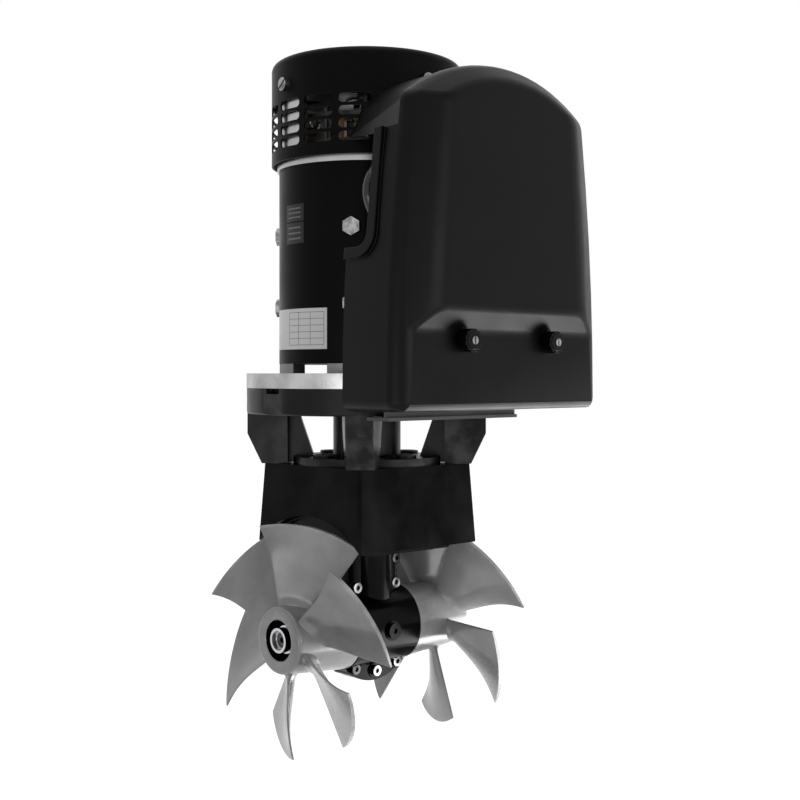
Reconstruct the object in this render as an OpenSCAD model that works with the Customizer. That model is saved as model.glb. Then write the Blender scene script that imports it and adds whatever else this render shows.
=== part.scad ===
// Stern tunnel thruster with two propellers on one shaft, driven by a vertical motor.
// Origin: where the propeller axis (X) crosses the motor axis (Z). The electrical cover is at -Y.

/* [Tunnel and saddle] */
// Inside diameter of the hull tunnel that the thruster works in
tunnel_bore = 185; // [180:1:190]
// Wall of the hull tunnel that the saddle sits on
tunnel_wall = 2; // [1:0.5:4]
// Width of the saddle at its top, square in plan
saddle_w = 121; // [117:1:130]
// Width of the saddle at its lower edge
saddle_foot_w = 129; // [123:1:136]
// Height of the saddle deck above the propeller axis
saddle_top_z = 134; // [128:1:142]
// Wall of the saddle skirt
saddle_wall = 4; // [3:0.5:6]
// Thickness of the saddle deck
saddle_deck = 7; // [5:0.5:10]
// Thickness of the gasket between the saddle and the gear leg
gasket_t = 1.8; // [1:0.1:3]

/* [Propellers] */
// Diameter over the blade tips
prop_d = 180; // [172:1:181]
// Number of blades on each propeller
blade_count = 6; // [3:1:7]
// Distance of the outer tip corners from the middle of the thruster
tip_out_x = 94; // [91:0.5:100]
// Distance of the inner tip corners from the middle of the thruster
tip_in_x = 55; // [50:0.5:62]
// Angle that a blade wraps round the hub
blade_wrap = 51; // [40:1:56]
// Greatest blade thickness at the root
blade_root_t = 5.5; // [4:0.5:8]
// Greatest blade thickness at the tip
blade_tip_t = 2; // [1.5:0.1:4]
// Hollow of the blade face at mid chord
blade_camber = 3; // [0:0.5:5]
// Hub diameter at the outer end
hub_end_d = 53; // [48:0.5:56]
// Hub diameter next to the gear leg
hub_root_d = 62; // [58:0.5:64]
// Distance of the outer hub face from the middle of the thruster
hub_end_x = 92.6; // [90:0.2:98]
// Diameter of the nut recess in the hub face
hub_recess_d = 32; // [28:0.5:36]
// Depth of the nut recess
hub_recess_h = 9; // [6:0.5:12]
// Turn of the left propeller, at its blade tips
left_phase = 16.3; // [0:0.1:60]
// Turn of the right propeller, at its blade tips
right_phase = 50.8; // [0:0.1:60]

/* [Gears and shafts] */
// Tooth module at the large end of the bevel gears
gear_module = 2.2; // [2:0.05:2.4]
// Teeth on the pinion
pinion_teeth = 12; // [10:1:14]
// Teeth on the crown gear, an even number
crown_teeth = 20; // [16:2:22]
// Length of the teeth along the pitch cone
gear_face = 8; // [6:0.5:9]
// Play between the teeth on the pitch circle
backlash = 0.16; // [0.1:0.02:0.4]
// Diameter of the propeller shaft
prop_shaft_d = 16; // [14:0.5:17]
// Diameter of the vertical drive shaft
drive_shaft_d = 13; // [11:0.5:14]
// Running clearance of a shaft in a fixed hole, on the radius
run_gap = 0.3; // [0.1:0.05:0.5]

/* [Gear leg] */
// Diameter of the gear housing across the tunnel axis
gear_case_d = 63; // [60:0.5:66]
// Length of the gear housing along the tunnel axis
gear_case_l = 62.8; // [60:0.2:66]
// Width of the leg neck along the tunnel axis
neck_w = 53; // [50:0.5:60]
// Thickness of the leg neck across the tunnel axis
neck_t = 24; // [20:0.5:30]
// Diameter of the bearing tube inside the neck
neck_tube_d = 42; // [40:0.5:46]
// Radius of the bottom fin
fin_r = 43.5; // [40:0.5:48]
// Thickness of the bottom fin
fin_t = 18; // [14:0.5:22]
// Width of the leg flange along the tunnel axis
flange_w = 104; // [98:1:112]
// Depth of the leg flange across the tunnel axis
flange_d = 104; // [100:1:106]
// Thickness of the leg flange
flange_t = 9; // [7:0.5:12]

/* [Upper bracket] */
// Diameter of the bracket rim
rim_d = 196.8; // [190:0.2:204]
// Height of the bracket rim
rim_h = 20.8; // [16:0.2:26]
// Height of the rim top above the propeller axis
rim_top_z = 195.8; // [190:0.2:206]
// Wall of the rim skirt
rim_wall = 5; // [4:0.5:8]
// Thickness of the bracket top under the motor plate
bracket_top_t = 7; // [5:0.5:10]
// Distance of the four side flats of the rim and the motor plate from the axis
flat_y = 97.6; // [95:0.2:98]
// Outer diameter of the middle column
column_d = 55.5; // [52:0.5:60]
// Inner diameter of the middle column
column_bore = 47; // [45:0.5:49]
// Diameter of the base flange
base_d = 121; // [112:1:121]
// Thickness of the base flange
base_t = 6; // [5:0.5:8]
// Width of a leg on its outer face
leg_out_w = 21; // [18:0.5:26]
// Width of a leg on its inner face
leg_in_w = 31; // [26:0.5:34]
// Distance of a leg's inner face from the axis
leg_in_r = 64; // [58:0.5:70]
// Height at which the outer face of a leg starts to slant
leg_bend_z = 160; // [150:0.5:170]
// Distance of a leg's outer face from the axis at its foot
leg_foot_r = 85.6; // [80:0.2:92]
// Radius of the bolt circle that holds bracket, saddle and leg together
leg_bolt_r = 44; // [40:0.5:44]
// Diameter of the leg bolts
leg_bolt_d = 8; // [6:1:8]

/* [Motor] */
// Thickness of the motor plate
plate_t = 11.8; // [9:0.2:15]
// Diameter of the motor plate
plate_d = 197.2; // [194:0.2:204]
// Height of the feet under the drive end shield
foot_h = 7.7; // [6:0.1:10]
// Outer diameter of the motor yoke
yoke_d = 144; // [140:0.5:147]
// Wall of the motor yoke
yoke_wall = 8; // [6:0.5:9]
// Length of the motor yoke
yoke_l = 156.4; // [150:0.2:170]
// Turn of the motor about its axis
motor_turn = -6; // [-20:0.5:20]
// Diameter of the armature
armature_d = 86; // [80:1:90]
// Length of the armature core
armature_l = 80; // [70:1:86]
// Gap between the armature and the pole shoes
air_gap = 1; // [0.6:0.1:2]
// Diameter of the motor shaft
motor_shaft_d = 17; // [14:0.5:18]
// Diameter of the commutator
commutator_d = 54; // [48:1:58]

/* [Brush end] */
// Outer diameter of the brush end shield ring
ring_d = 147.2; // [147:0.2:150]
// Visible height of the brush end shield ring under the cap
ring_h = 4.5; // [3:0.5:8]
// Outer diameter of the motor cap
cap_d = 156.2; // [155:0.2:162]
// Height of the motor cap
cap_h = 83.2; // [78:0.2:92]
// Sheet thickness of the motor cap
cap_t = 1.5; // [1:0.1:2]
// Radius of the rolled top edge of the cap
cap_edge_r = 6.5; // [4:0.5:9]
// Columns of vent slots round the cap
slot_cols = 16; // [12:1:18]
// Rows of vent slots
slot_rows = 4; // [2:1:4]
// Height of one vent slot
slot_h = 7.4; // [4:0.2:8]
// Spacing of the slot rows
slot_pitch = 9.8; // [8.5:0.1:10]
// Angle that one vent slot covers
slot_angle = 19; // [12:0.5:20]
// Height of the lowest slot row above the cap's lower edge
slot_low = 13.8; // [12:0.2:16]
// Height of the cap screws above the cap's lower edge
cap_screw_h = 63; // [60:0.5:66]

/* [Cover] */
// Height of the cover's lower edge above the propeller axis
cover_low_z = 180.6; // [178:0.2:186]
// Half width of the cover at its lower edge
cover_foot_hw = 109.5; // [104:0.5:112]
// Half width of the cover where its sides meet the arch
cover_top_hw = 95; // [92:0.5:98]
// Height of the arch top at the outline edge
cover_top_z = 434.6; // [430:0.5:440]
// Distance of the outline edge in front of the axis
cover_edge_y = 150; // [146:0.5:156]
// Distance of the front face from the axis
cover_face_y = 165; // [160:0.5:172]
// Half width of the front face at the recess
face_foot_hw = 76; // [70:0.5:80]
// Half width of the front face at its top
face_top_hw = 68; // [64:0.5:74]
// Height of the front face's arch top
face_top_z = 420.6; // [416:0.2:426]
// Wall of the moulded cover
cover_wall = 3; // [2.4:0.1:3.6]
// Distance of the cover's lower back edge from the axis
cover_back_y = 97; // [96:0.5:100]
// Depth of the recess low on the front face
recess_depth = 9.5; // [7:0.5:10]
// Height where the recess slope starts
recess_top_z = 255; // [250:1:260]
// Height where the recess slope ends
recess_low_z = 237; // [236:0.5:242]
// Height of the side notch's lower edge
notch_low_z = 297; // [290:1:304]
// Height of the side notch's upper edge
notch_top_z = 381; // [374:1:384]
// Distance of the notch's front edge from the axis
notch_y = 121; // [116:1:126]
// Distance between the two cover knobs
knob_span = 90.8; // [80:0.2:100]
// Height of the cover knobs
knob_z = 231; // [216:0.5:231]
// Diameter of a cover knob
knob_d = 17; // [14:0.5:20]
// Length of a cover knob
knob_l = 10; // [8:0.5:11]

/* [Electrical parts] */
// Half width of the control plate
tray_hw = 70; // [60:1:76]
// Sheet thickness of the control plate
tray_t = 2.5; // [2:0.1:3]
// Height of the control plate's top edge
tray_top_z = 378; // [360:1:380]
// Diameter of a contactor can
can_d = 42; // [38:0.5:44]
// Length of a contactor can
can_l = 62; // [56:0.5:66]
// Distance between the two contactors
can_span = 62; // [58:0.5:66]

/* [Hidden] */
$fn = 96;
eps = 0.01;
// Small clearance between fixed pieces with curved faces
seat_gap = 0.05;
tunnel_r = tunnel_bore / 2;
seat_r = tunnel_r + tunnel_wall;
tip_r = prop_d / 2;
gasket_r = seat_r - seat_gap;
flange_r = gasket_r - gasket_t - seat_gap;
case_r = gear_case_d / 2;
case_x = gear_case_l / 2;
rim_r = rim_d / 2;
rim_low_z = rim_top_z - rim_h;
plate_top_z = rim_top_z + plate_t;
yoke_low_z = plate_top_z + foot_h;
yoke_top_z = yoke_low_z + yoke_l;
yoke_r = yoke_d / 2;
yoke_in_r = yoke_r - yoke_wall;
cap_low_z = yoke_top_z + ring_h;
cap_top_z = cap_low_z + cap_h;
cap_r = cap_d / 2;
cap_in_r = cap_r - cap_t;
base_top_z = saddle_top_z + base_t;

// Bevel gear geometry, pitch cones with their common apex at the origin
ratio_angle = atan2(pinion_teeth, crown_teeth);
cone_l = gear_module * crown_teeth / 2 / cos(ratio_angle);
pressure = 20;
shift_x = 0.3;

// Turns a shape that is built along Z so that it lies along X
module along_x() {
  rotate([0, 90, 0])
    children();
}

// A ring or tube standing on z0
module tube(r_out, r_in, z0, z1) {
  difference() {
    translate([0, 0, z0])
      cylinder(r = r_out, h = z1 - z0);
    translate([0, 0, z0 - 1])
      cylinder(r = r_in, h = z1 - z0 + 2);
  }
}

// A round bar standing on z0
module bar(r, z0, z1) {
  translate([0, 0, z0])
    cylinder(r = r, h = z1 - z0);
}

// A part of a ring, from one angle to another
module ring_sector(r_out, r_in, a0, a1) {
  steps = 12;
  reach = r_out * 1.2;
  intersection() {
    difference() {
      circle(r = r_out);
      circle(r = r_in);
    }
    polygon(concat([[0, 0]],
      [for (i = [0 : steps]) let (a = a0 + (a1 - a0) * i / steps) reach * [cos(a), sin(a)]]));
  }
}

// The four quarter positions round the axis
module four(first = 0) {
  for (i = [0 : 3])
    rotate([0, 0, first + 90 * i])
      children();
}

// The seat cylinder of the tunnel, as a solid to cut or keep with
module tunnel_solid(r, half_l) {
  along_x()
    cylinder(r = r, h = 2 * half_l, center = true);
}

// Flat outlines

// A rectangle with round corners, centred
module round_rect(w, d, r) {
  square([w - 2 * r, d], center = true);
  square([w, d - 2 * r], center = true);
  for (sx = [-1, 1], sy = [-1, 1])
    translate([sx * (w / 2 - r), sy * (d / 2 - r)])
      circle(r = r);
}

// A slot with round ends, centred
module slot_shape(w, h) {
  square([w - h, h], center = true);
  for (s = [-1, 1])
    translate([s * (w - h) / 2, 0])
      circle(r = h / 2);
}

// Saddle

// A square block with drafted sides and rounded corners
module drafted_block(top_w, foot_w, z_top, z_foot, corner) {
  hull()
    for (level = [[top_w, z_top], [foot_w, z_foot]], sx = [-1, 1], sy = [-1, 1])
      translate([sx * (level[0] / 2 - corner), sy * (level[0] / 2 - corner), level[1]])
        cylinder(r = corner, h = eps, $fn = 24);
}

saddle_foot_z = 62;
saddle_hub_r = 33;

module saddle_outer() {
  drafted_block(saddle_w, saddle_foot_w, saddle_top_z - eps, saddle_foot_z, 3);
}

module saddle() {
  inner = -2 * saddle_wall;
  color([0.13, 0.13, 0.14])
    difference() {
      union() {
        difference() {
          saddle_outer();
          drafted_block(saddle_w + inner, saddle_foot_w + inner,
            saddle_top_z - saddle_deck, saddle_foot_z - 1, 2);
        }
        bar(saddle_hub_r, saddle_foot_z + 10, saddle_top_z - 1);
        four()
          translate([leg_bolt_r, 0, 0])
            bar(leg_bolt_d + 2, saddle_foot_z + 10, saddle_top_z - 1);
        four(45)
          translate([saddle_hub_r - 2, -2.5, saddle_foot_z + 10])
            cube([saddle_w / 2 * sqrt(2) - saddle_hub_r - 4, 5,
              saddle_top_z - saddle_foot_z - 11]);
      }
      tunnel_solid(seat_r, saddle_foot_w);
      bar(neck_tube_d / 2 + seat_gap, 0, saddle_top_z + 1);
      four()
        translate([leg_bolt_r, 0, 0])
          bar(leg_bolt_d / 2 + 0.3, 0, saddle_top_z + 1);
    }
}

// Gear leg, split in two halves on the plane through both axes

module tunnel_skin(r_out, r_in) {
  intersection() {
    translate([0, 0, 30])
      linear_extrude(100)
        round_rect(flange_w, flange_d, 12);
    difference() {
      tunnel_solid(r_out, flange_w);
      tunnel_solid(r_in, flange_w + 1);
    }
  }
}

leg_bolt_low_z = 74;

// Bars at the four leg bolt places, from low_z upwards
module leg_bolt_bars(r, low_z) {
  four()
    translate([leg_bolt_r, 0, 0])
      bar(r, low_z, base_top_z + 1);
}

module leg_gasket() {
  color([0.18, 0.18, 0.18])
    difference() {
      tunnel_skin(gasket_r, gasket_r - gasket_t);
      bar(neck_tube_d / 2 + 0.3, 0, saddle_top_z);
      leg_bolt_bars(leg_bolt_d / 2 + 0.3, 0);
    }
}

tube_top_z = saddle_top_z - 6;
screw_y = 10;
// Screw places on the gear leg, along X and Z
leg_screws = [[-21, 34.5], [21, 34.5], [21.5, 54.7], [-22.5, -31], [0, -35.5], [22.5, -31]];

// Bearing sizes: bore radius, outer radius, width
prop_bearing = [prop_shaft_d / 2, prop_shaft_d / 2 + 9.5, 7];
drive_bearing = [drive_shaft_d / 2, drive_shaft_d / 2 + 9.5, 9];
motor_bearing = [motor_shaft_d / 2, motor_shaft_d / 2 + 9, 10];
seal_w = 3.6;
chamber_r = 26.5;
crown_back_x = 18.6;
prop_bearing_x = case_x - seal_w - prop_bearing[2] / 2 - 0.3;
drive_low_z = 34.5;
drive_high_z = 60;
motor_low_z = yoke_low_z + 11.7;
motor_high_z = cap_low_z + 59;

module gear_leg_outside() {
  along_x()
    cylinder(r = case_r, h = gear_case_l, center = true);
  linear_extrude(flange_r - 8)
    round_rect(neck_w, neck_t, 8);
  bar(neck_tube_d / 2, 0, tube_top_z);
  tunnel_skin(flange_r, flange_r - flange_t);
  intersection() {
    rotate([90, 0, 0])
      cylinder(r = fin_r, h = fin_t, center = true);
    translate([-case_x, -fin_t / 2, -fin_r - 1])
      cube([2 * case_x, fin_t, fin_r - 10]);
  }
  for (p = leg_screws)
    translate([p[0], 0, p[1]])
      rotate([90, 0, 0])
        cylinder(r = 6.2, h = 2 * screw_y, center = true);
  // Round boss over the oil plug
  translate([0, -case_r + 3, 0])
    rotate([90, 0, 0])
      cylinder(r = 8, h = 4);
}

module gear_leg_inside() {
  along_x() {
    cylinder(r = chamber_r, h = 2 * (prop_bearing_x - prop_bearing[2] / 2) - 2, center = true);
    cylinder(r = prop_bearing[1] + seat_gap, h = gear_case_l + 2, center = true);
  }
  bar(17.5, 0, drive_low_z - drive_bearing[2] / 2 - 1);
  bar(drive_bearing[1] + seat_gap, 0, drive_low_z + drive_bearing[2] / 2);
  bar(drive_bearing[1] - 2, 0, drive_high_z);
  translate([0, 0, drive_high_z])
    cylinder(r = drive_bearing[1] + seat_gap, h = drive_bearing[2], center = true);
  bar(drive_shaft_d / 2 + 2, 0, tube_top_z + 1);
  bar(drive_shaft_d / 2 + 8 + seat_gap, tube_top_z - 7, tube_top_z + 1);
}

module gear_leg_half(side) {
  difference() {
    union() {
      gear_leg_outside();
      intersection() {
        leg_bolt_bars(7.5, leg_bolt_low_z - 2);
        tunnel_solid(flange_r - 1, flange_w);
      }
    }
    gear_leg_inside();
    leg_bolt_bars(leg_bolt_d / 2 + seat_gap, leg_bolt_low_z);
    translate([-100, side > 0 ? -100 : 0, -100])
      cube([200, 100, 300]);
    for (p = leg_screws)
      translate([p[0], 0, p[1]])
        rotate([90, 0, 0]) {
          cylinder(r = 2.5 + seat_gap, h = 60, center = true);
          translate([0, 0, screw_y])
            cylinder(r = 4.8, h = 10);
        }
    translate([0, -case_r + 6, 0])
      rotate([90, 0, 0])
        cylinder(r = 4 + seat_gap, h = 20, center = true);
  }
}

module gear_leg_front() {
  color([0.1, 0.1, 0.11])
    gear_leg_half(-1);
}

module gear_leg_back() {
  color([0.1, 0.1, 0.11])
    gear_leg_half(1);
}

module gear_leg_screws() {
  color([0.8, 0.8, 0.8])
    for (p = leg_screws)
      translate([p[0], -screw_y, p[1]])
        rotate([90, 0, 0])
          difference() {
            union() {
              cylinder(r = 4.2, h = 3);
              translate([0, 0, -2 * screw_y + 1])
                cylinder(r = 2.5, h = 2 * screw_y);
            }
            translate([0, 0, 1.4])
              cylinder(r = 2.2, h = 3, $fn = 6);
          }
}

module oil_plug() {
  color([0.12, 0.12, 0.13])
    translate([0, -case_r - 1, 0])
      rotate([90, 0, 0])
        difference() {
          union() {
            cylinder(r = 6.4, h = 2.2);
            translate([0, 0, -7])
              cylinder(r = 4, h = 8);
          }
          translate([0, 0, 0.6])
            cylinder(r = 2.4, h = 3, $fn = 6);
        }
}

// Ball bearings

function pitch_r(b) = (b[0] + b[1]) / 2;
function ball_r(b) = (b[1] - b[0]) * 0.29;
function ball_count(b) = floor(180 / asin(ball_r(b) / pitch_r(b)) * 0.86);

module bearing_ring(b, inner) {
  r0 = inner ? b[0] + seat_gap : pitch_r(b) + 0.35 * ball_r(b);
  r1 = inner ? pitch_r(b) - 0.35 * ball_r(b) : b[1];
  rotate_extrude()
    difference() {
      translate([r0, -b[2] / 2])
        square([r1 - r0, b[2]]);
      translate([pitch_r(b), 0])
        circle(r = ball_r(b) + seat_gap, $fn = 48);
    }
}

module ball_row(b) {
  n = ball_count(b);
  for (i = [0 : n - 1])
    rotate([0, 0, 360 * i / n])
      translate([pitch_r(b), 0, 0])
        sphere(r = ball_r(b), $fn = 24);
}

// Puts its children at both bearing places of one shaft
module at_prop_bearings() {
  for (s = [-1, 1])
    along_x()
      translate([0, 0, s * prop_bearing_x])
        children();
}

module at_drive_bearings() {
  for (z = [drive_low_z, drive_high_z])
    translate([0, 0, z])
      children();
}

module at_motor_bearings() {
  for (z = [motor_low_z, motor_high_z])
    translate([0, 0, z])
      children();
}

module prop_bearing_outers() {
  color([0.75, 0.76, 0.78])
    at_prop_bearings()
      bearing_ring(prop_bearing, false);
}

module prop_bearing_inners() {
  color([0.75, 0.76, 0.78])
    at_prop_bearings()
      bearing_ring(prop_bearing, true);
}

module prop_bearing_balls() {
  color([0.85, 0.86, 0.88])
    at_prop_bearings()
      ball_row(prop_bearing);
}

module drive_bearing_outers() {
  color([0.75, 0.76, 0.78])
    at_drive_bearings()
      bearing_ring(drive_bearing, false);
}

module drive_bearing_inners() {
  color([0.75, 0.76, 0.78])
    at_drive_bearings()
      bearing_ring(drive_bearing, true);
}

module drive_bearing_balls() {
  color([0.85, 0.86, 0.88])
    at_drive_bearings()
      ball_row(drive_bearing);
}

module motor_bearing_outers() {
  color([0.75, 0.76, 0.78])
    at_motor_bearings()
      bearing_ring(motor_bearing, false);
}

module motor_bearing_inners() {
  color([0.75, 0.76, 0.78])
    at_motor_bearings()
      bearing_ring(motor_bearing, true);
}

module motor_bearing_balls() {
  color([0.85, 0.86, 0.88])
    at_motor_bearings()
      ball_row(motor_bearing);
}

module prop_shaft_seals() {
  color([0.2, 0.2, 0.2])
    for (s = [-1, 1])
      along_x()
        translate([0, 0, s * (case_x - seal_w / 2)])
          difference() {
            cylinder(r = prop_bearing[1], h = seal_w, center = true);
            cylinder(r = prop_shaft_d / 2 + 0.1, h = seal_w + 1, center = true);
          }
}

module drive_shaft_seal() {
  color([0.2, 0.2, 0.2])
    tube(drive_shaft_d / 2 + 8, drive_shaft_d / 2 + 0.1, tube_top_z - 7, tube_top_z);
}

// Propellers: blades on a tapered hub, both turned with the shaft

blade_root_r = hub_end_d / 2 - 3;
root_out_x = 86.5;
root_in_x = 66;
edge_sweep = 4;
edge_t = 1.3;
span_steps = 9;
chord_steps = 12;

function blend(a, b, t) = a + (b - a) * t;

// One point of a blade surface: t from root to tip, s from the outer edge to the inner edge,
// side is 1 or -1 for the two faces
function blade_point(t, s, side) = let (
    r = blend(blade_root_r, tip_r, t),
    x_out = -blend(root_out_x, tip_out_x, t),
    x_in = -blend(root_in_x, tip_in_x, t),
    lead = edge_sweep * sin(180 * min(1, t)),
    turn = lead + s * (blade_wrap - lead),
    arc = r * (blade_wrap - lead) * PI / 180,
    len = sqrt(pow(x_in - x_out, 2) + arc * arc),
    bow = 4 * s * (1 - s),
    half = (edge_t + blend(blade_root_t, blade_tip_t, t) * pow(bow, 0.7)) / 2,
    camber = blade_camber * bow * sin(180 * min(1, 0.15 + t * 0.75)),
    off = side * half + camber,
    x = x_out + s * (x_in - x_out) + off * arc / len,
    a = turn - off * (x_in - x_out) / len / r * 180 / PI
  ) [x, r * cos(a), r * sin(a)];

// The ring of points round a blade section
function blade_section(t) = concat(
    [for (i = [0 : chord_steps]) blade_point(t, i / chord_steps, 1)],
    [for (i = [chord_steps : -1 : 0]) blade_point(t, i / chord_steps, -1)]);

module blade() {
  n = 2 * (chord_steps + 1);
  points = [for (j = [0 : span_steps]) each blade_section(j / span_steps)];
  sides = [for (j = [0 : span_steps - 1], i = [0 : n - 1]) let (
      a = j * n + i, b = j * n + (i + 1) % n) each [[a, b, b + n], [a, b + n, a + n]]];
  last = span_steps * n;
  root_cap = [for (i = [0 : chord_steps - 1]) each [
      [i, n - 1 - i, n - 2 - i], [i, n - 2 - i, i + 1]]];
  tip_cap = [for (i = [0 : chord_steps - 1]) each [
      [last + i, last + n - 2 - i, last + n - 1 - i],
      [last + i, last + i + 1, last + n - 2 - i]]];
  polyhedron(points, concat(sides, root_cap, tip_cap), convexity = 6);
}

hub_in_x = case_x + 0.4;
pin_x = hub_in_x + 5;
pin_d = 5;
hub_edge_r = 3;

function hub_r(x) = blend(hub_root_d / 2, hub_end_d / 2, (x - hub_in_x) / (hub_end_x - hub_in_x));

module hub_body() {
  edge = [for (i = [0 : 6]) let (a = 90 * i / 6)
    [hub_r(hub_end_x) - hub_edge_r * (1 - cos(a)), -hub_end_x + hub_edge_r * (1 - sin(a))]];
  along_x()
    rotate_extrude()
      polygon(concat([[prop_shaft_d / 2 + seat_gap, -hub_in_x], [hub_r(hub_in_x), -hub_in_x]],
        edge,
        [[hub_recess_d / 2, -hub_end_x], [hub_recess_d / 2, -hub_end_x + hub_recess_h],
         [prop_shaft_d / 2 + seat_gap, -hub_end_x + hub_recess_h]]));
}

// A propeller on the -X side
module propeller(phase) {
  difference() {
    union() {
      hub_body();
      for (k = [0 : blade_count - 1])
        rotate([phase + 360 * k / blade_count, 0, 0])
          blade();
    }
    along_x()
      translate([0, 0, -hub_end_x - 1])
        cylinder(r = prop_shaft_d / 2 + seat_gap, h = hub_end_x);
    translate([-pin_x - pin_d / 2 - 0.1, -pin_d / 2 - 0.1, -pin_reach - 0.3])
      cube([pin_x - hub_in_x + pin_d, pin_d + 0.2, 2 * pin_reach + 0.6]);
  }
}

pin_reach = 15;

module propeller_left() {
  color([0.55, 0.55, 0.56])
    propeller(left_phase);
}

module propeller_right() {
  color([0.55, 0.55, 0.56])
    rotate([0, 0, 180])
      propeller(180 - right_phase);
}

module propeller_pins() {
  color([0.8, 0.8, 0.82])
    for (s = [-1, 1])
      translate([s * pin_x, 0, 0])
        cylinder(r = pin_d / 2, h = 2 * pin_reach, center = true);
}

nut_x = hub_end_x - hub_recess_h;
nut_h = 8.8;
thread_r = 6;
// Open mouth of the nut, deeper than the shaft end
nut_mouth_r = 7.6;
nut_mouth_h = 4.4;

module propeller_nuts() {
  color([0.85, 0.85, 0.86])
    for (s = [-1, 1])
      along_x()
        mirror([0, 0, s > 0 ? 0 : 1])
          translate([0, 0, nut_x])
            difference() {
              union() {
                cylinder(r = 11, h = 1.6);
                cylinder(r = 9.7, h = nut_h);
              }
              translate([0, 0, -1])
                cylinder(r = thread_r + seat_gap, h = 20);
              translate([0, 0, nut_h - nut_mouth_h])
                cylinder(r = nut_mouth_r, h = nut_mouth_h + 1);
            }
}

shaft_end_x = nut_x + nut_h - 3.8;

module propeller_shaft() {
  color([0.8, 0.8, 0.82])
    difference() {
      along_x() {
        cylinder(r = prop_shaft_d / 2, h = 2 * nut_x, center = true);
        cylinder(r = thread_r, h = 2 * shaft_end_x, center = true);
        translate([0, 0, -prop_bearing_x + prop_bearing[2] / 2])
          cylinder(r = prop_shaft_d / 2 + 1.5, h = 1.5);
      }
      for (s = [-1, 1])
        translate([s * pin_x, 0, 0])
          cylinder(r = pin_d / 2 + seat_gap, h = 40, center = true);
      for (s = [-1, 1])
        along_x()
          mirror([0, 0, s > 0 ? 0 : 1])
            translate([0, 0, shaft_end_x - 3])
              cylinder(r = 2.2, h = 10);
    }
}

// Straight bevel gears. Each flank is an involute on the back cone, run out to the shared apex

function involute(q) = sqrt(q * q - 1) * 180 / PI - acos(1 / q);

// Half the tooth angle on the back cone at radius rho
function tooth_half(rho, rv, shift) = let (rb = rv * cos(pressure),
    thick = gear_module * (PI / 2 + 2 * shift * tan(pressure)) - backlash)
  thick / 2 / rv * 180 / PI + involute(1 / cos(pressure)) - involute(max(1, rho / rb));

// A tooth outline as radius from the gear axis, angle round it and height along it
function tooth_outline(teeth, cone, shift) = let (
    rp = gear_module * teeth / 2,
    rv = rp / cos(cone),
    top = (1 + shift) * gear_module,
    bottom = (1.25 - shift) * gear_module,
    hs = [for (i = [0 : 6]) blend(-bottom - 0.5, top, i / 6)])
  concat(
    [for (h = hs) let (a = tooth_half(rv + h, rv, shift) / cos(cone))
      [rp + h * cos(cone), -a, cone_l * cos(cone) - h * sin(cone)]],
    [for (k = [6 : -1 : 0]) let (h = hs[k], a = tooth_half(rv + h, rv, shift) / cos(cone))
      [rp + h * cos(cone), a, cone_l * cos(cone) - h * sin(cone)]]);

module bevel_tooth(teeth, cone, shift) {
  outline = tooth_outline(teeth, cone, shift);
  n = len(outline);
  small = (cone_l - gear_face) / cone_l;
  ring = [for (p = outline) [p[0] * cos(p[1]), p[0] * sin(p[1]), p[2]]];
  points = concat([for (p = ring) p * small], ring);
  sides = [for (i = [0 : n - 1]) let (b = (i + 1) % n) each [[i, n + i, n + b], [i, n + b, b]]];
  half = n / 2;
  low_cap = [for (i = [0 : half - 2]) each [[i, i + 1, n - 2 - i], [i, n - 2 - i, n - 1 - i]]];
  top_cap = [for (f = low_cap) [f[0] + n, f[2] + n, f[1] + n]];
  polyhedron(points, concat(sides, low_cap, top_cap), convexity = 4);
}

// Root cone body of a bevel gear, with its back at height back and a hub behind it
module bevel_blank(teeth, cone, shift, back, hub_r, hub_top) {
  bottom = (1.25 - shift) * gear_module;
  rp = gear_module * teeth / 2;
  big = [rp - bottom * cos(cone), cone_l * cos(cone) + bottom * sin(cone)];
  small = (cone_l - gear_face) / cone_l;
  rotate_extrude()
    polygon([[0, big[1] * small], big * small, big, [big[0], back], [hub_r, back],
      [hub_r, hub_top], [0, hub_top]]);
}

crown_hub_x = prop_bearing_x - prop_bearing[2] / 2 - 0.1;

module crown_gear() {
  color([0.72, 0.66, 0.5])
    along_x()
      difference() {
        union() {
          bevel_blank(crown_teeth, 90 - ratio_angle, -shift_x, crown_back_x, 12, crown_hub_x);
          for (k = [0 : crown_teeth - 1])
            rotate([0, 0, 360 * (k + 0.5) / crown_teeth])
              bevel_tooth(crown_teeth, 90 - ratio_angle, -shift_x);
        }
        translate([0, 0, -1])
          cylinder(r = prop_shaft_d / 2 + seat_gap, h = 60);
      }
}

pinion_hub_z = drive_low_z - drive_bearing[2] / 2 - 0.1;

module drive_pinion() {
  color([0.7, 0.7, 0.72])
    difference() {
      union() {
        bevel_blank(pinion_teeth, ratio_angle, shift_x, 26, 10, pinion_hub_z);
        for (k = [0 : pinion_teeth - 1])
          rotate([0, 0, 360 * k / pinion_teeth])
            bevel_tooth(pinion_teeth, ratio_angle, shift_x);
      }
      cylinder(r = drive_shaft_d / 2 + seat_gap, h = 60);
    }
}

drive_shaft_top_z = base_top_z + 19.5;
collar_z = drive_low_z + drive_bearing[2] / 2;

module drive_shaft() {
  color([0.8, 0.8, 0.82]) {
    bar(drive_shaft_d / 2, 15.5, drive_shaft_top_z);
    bar(drive_shaft_d / 2 + 1.5, collar_z, collar_z + 2);
  }
}

// Flexible jaw coupling in the column

coupling_r = column_bore / 2 - 2.5;
jaw_h = 12;
hub_h = 14;
coupling_low_z = base_top_z + 6;
jaw_low_z = coupling_low_z + hub_h;
jaw_count = 3;

module coupling_jaws(z0, turn) {
  for (i = [0 : jaw_count - 1])
    rotate([0, 0, turn + 360 / jaw_count * i])
      translate([0, 0, z0])
        linear_extrude(jaw_h + 2)
          ring_sector(coupling_r - 0.2, 10, -20, 20);
}

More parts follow.
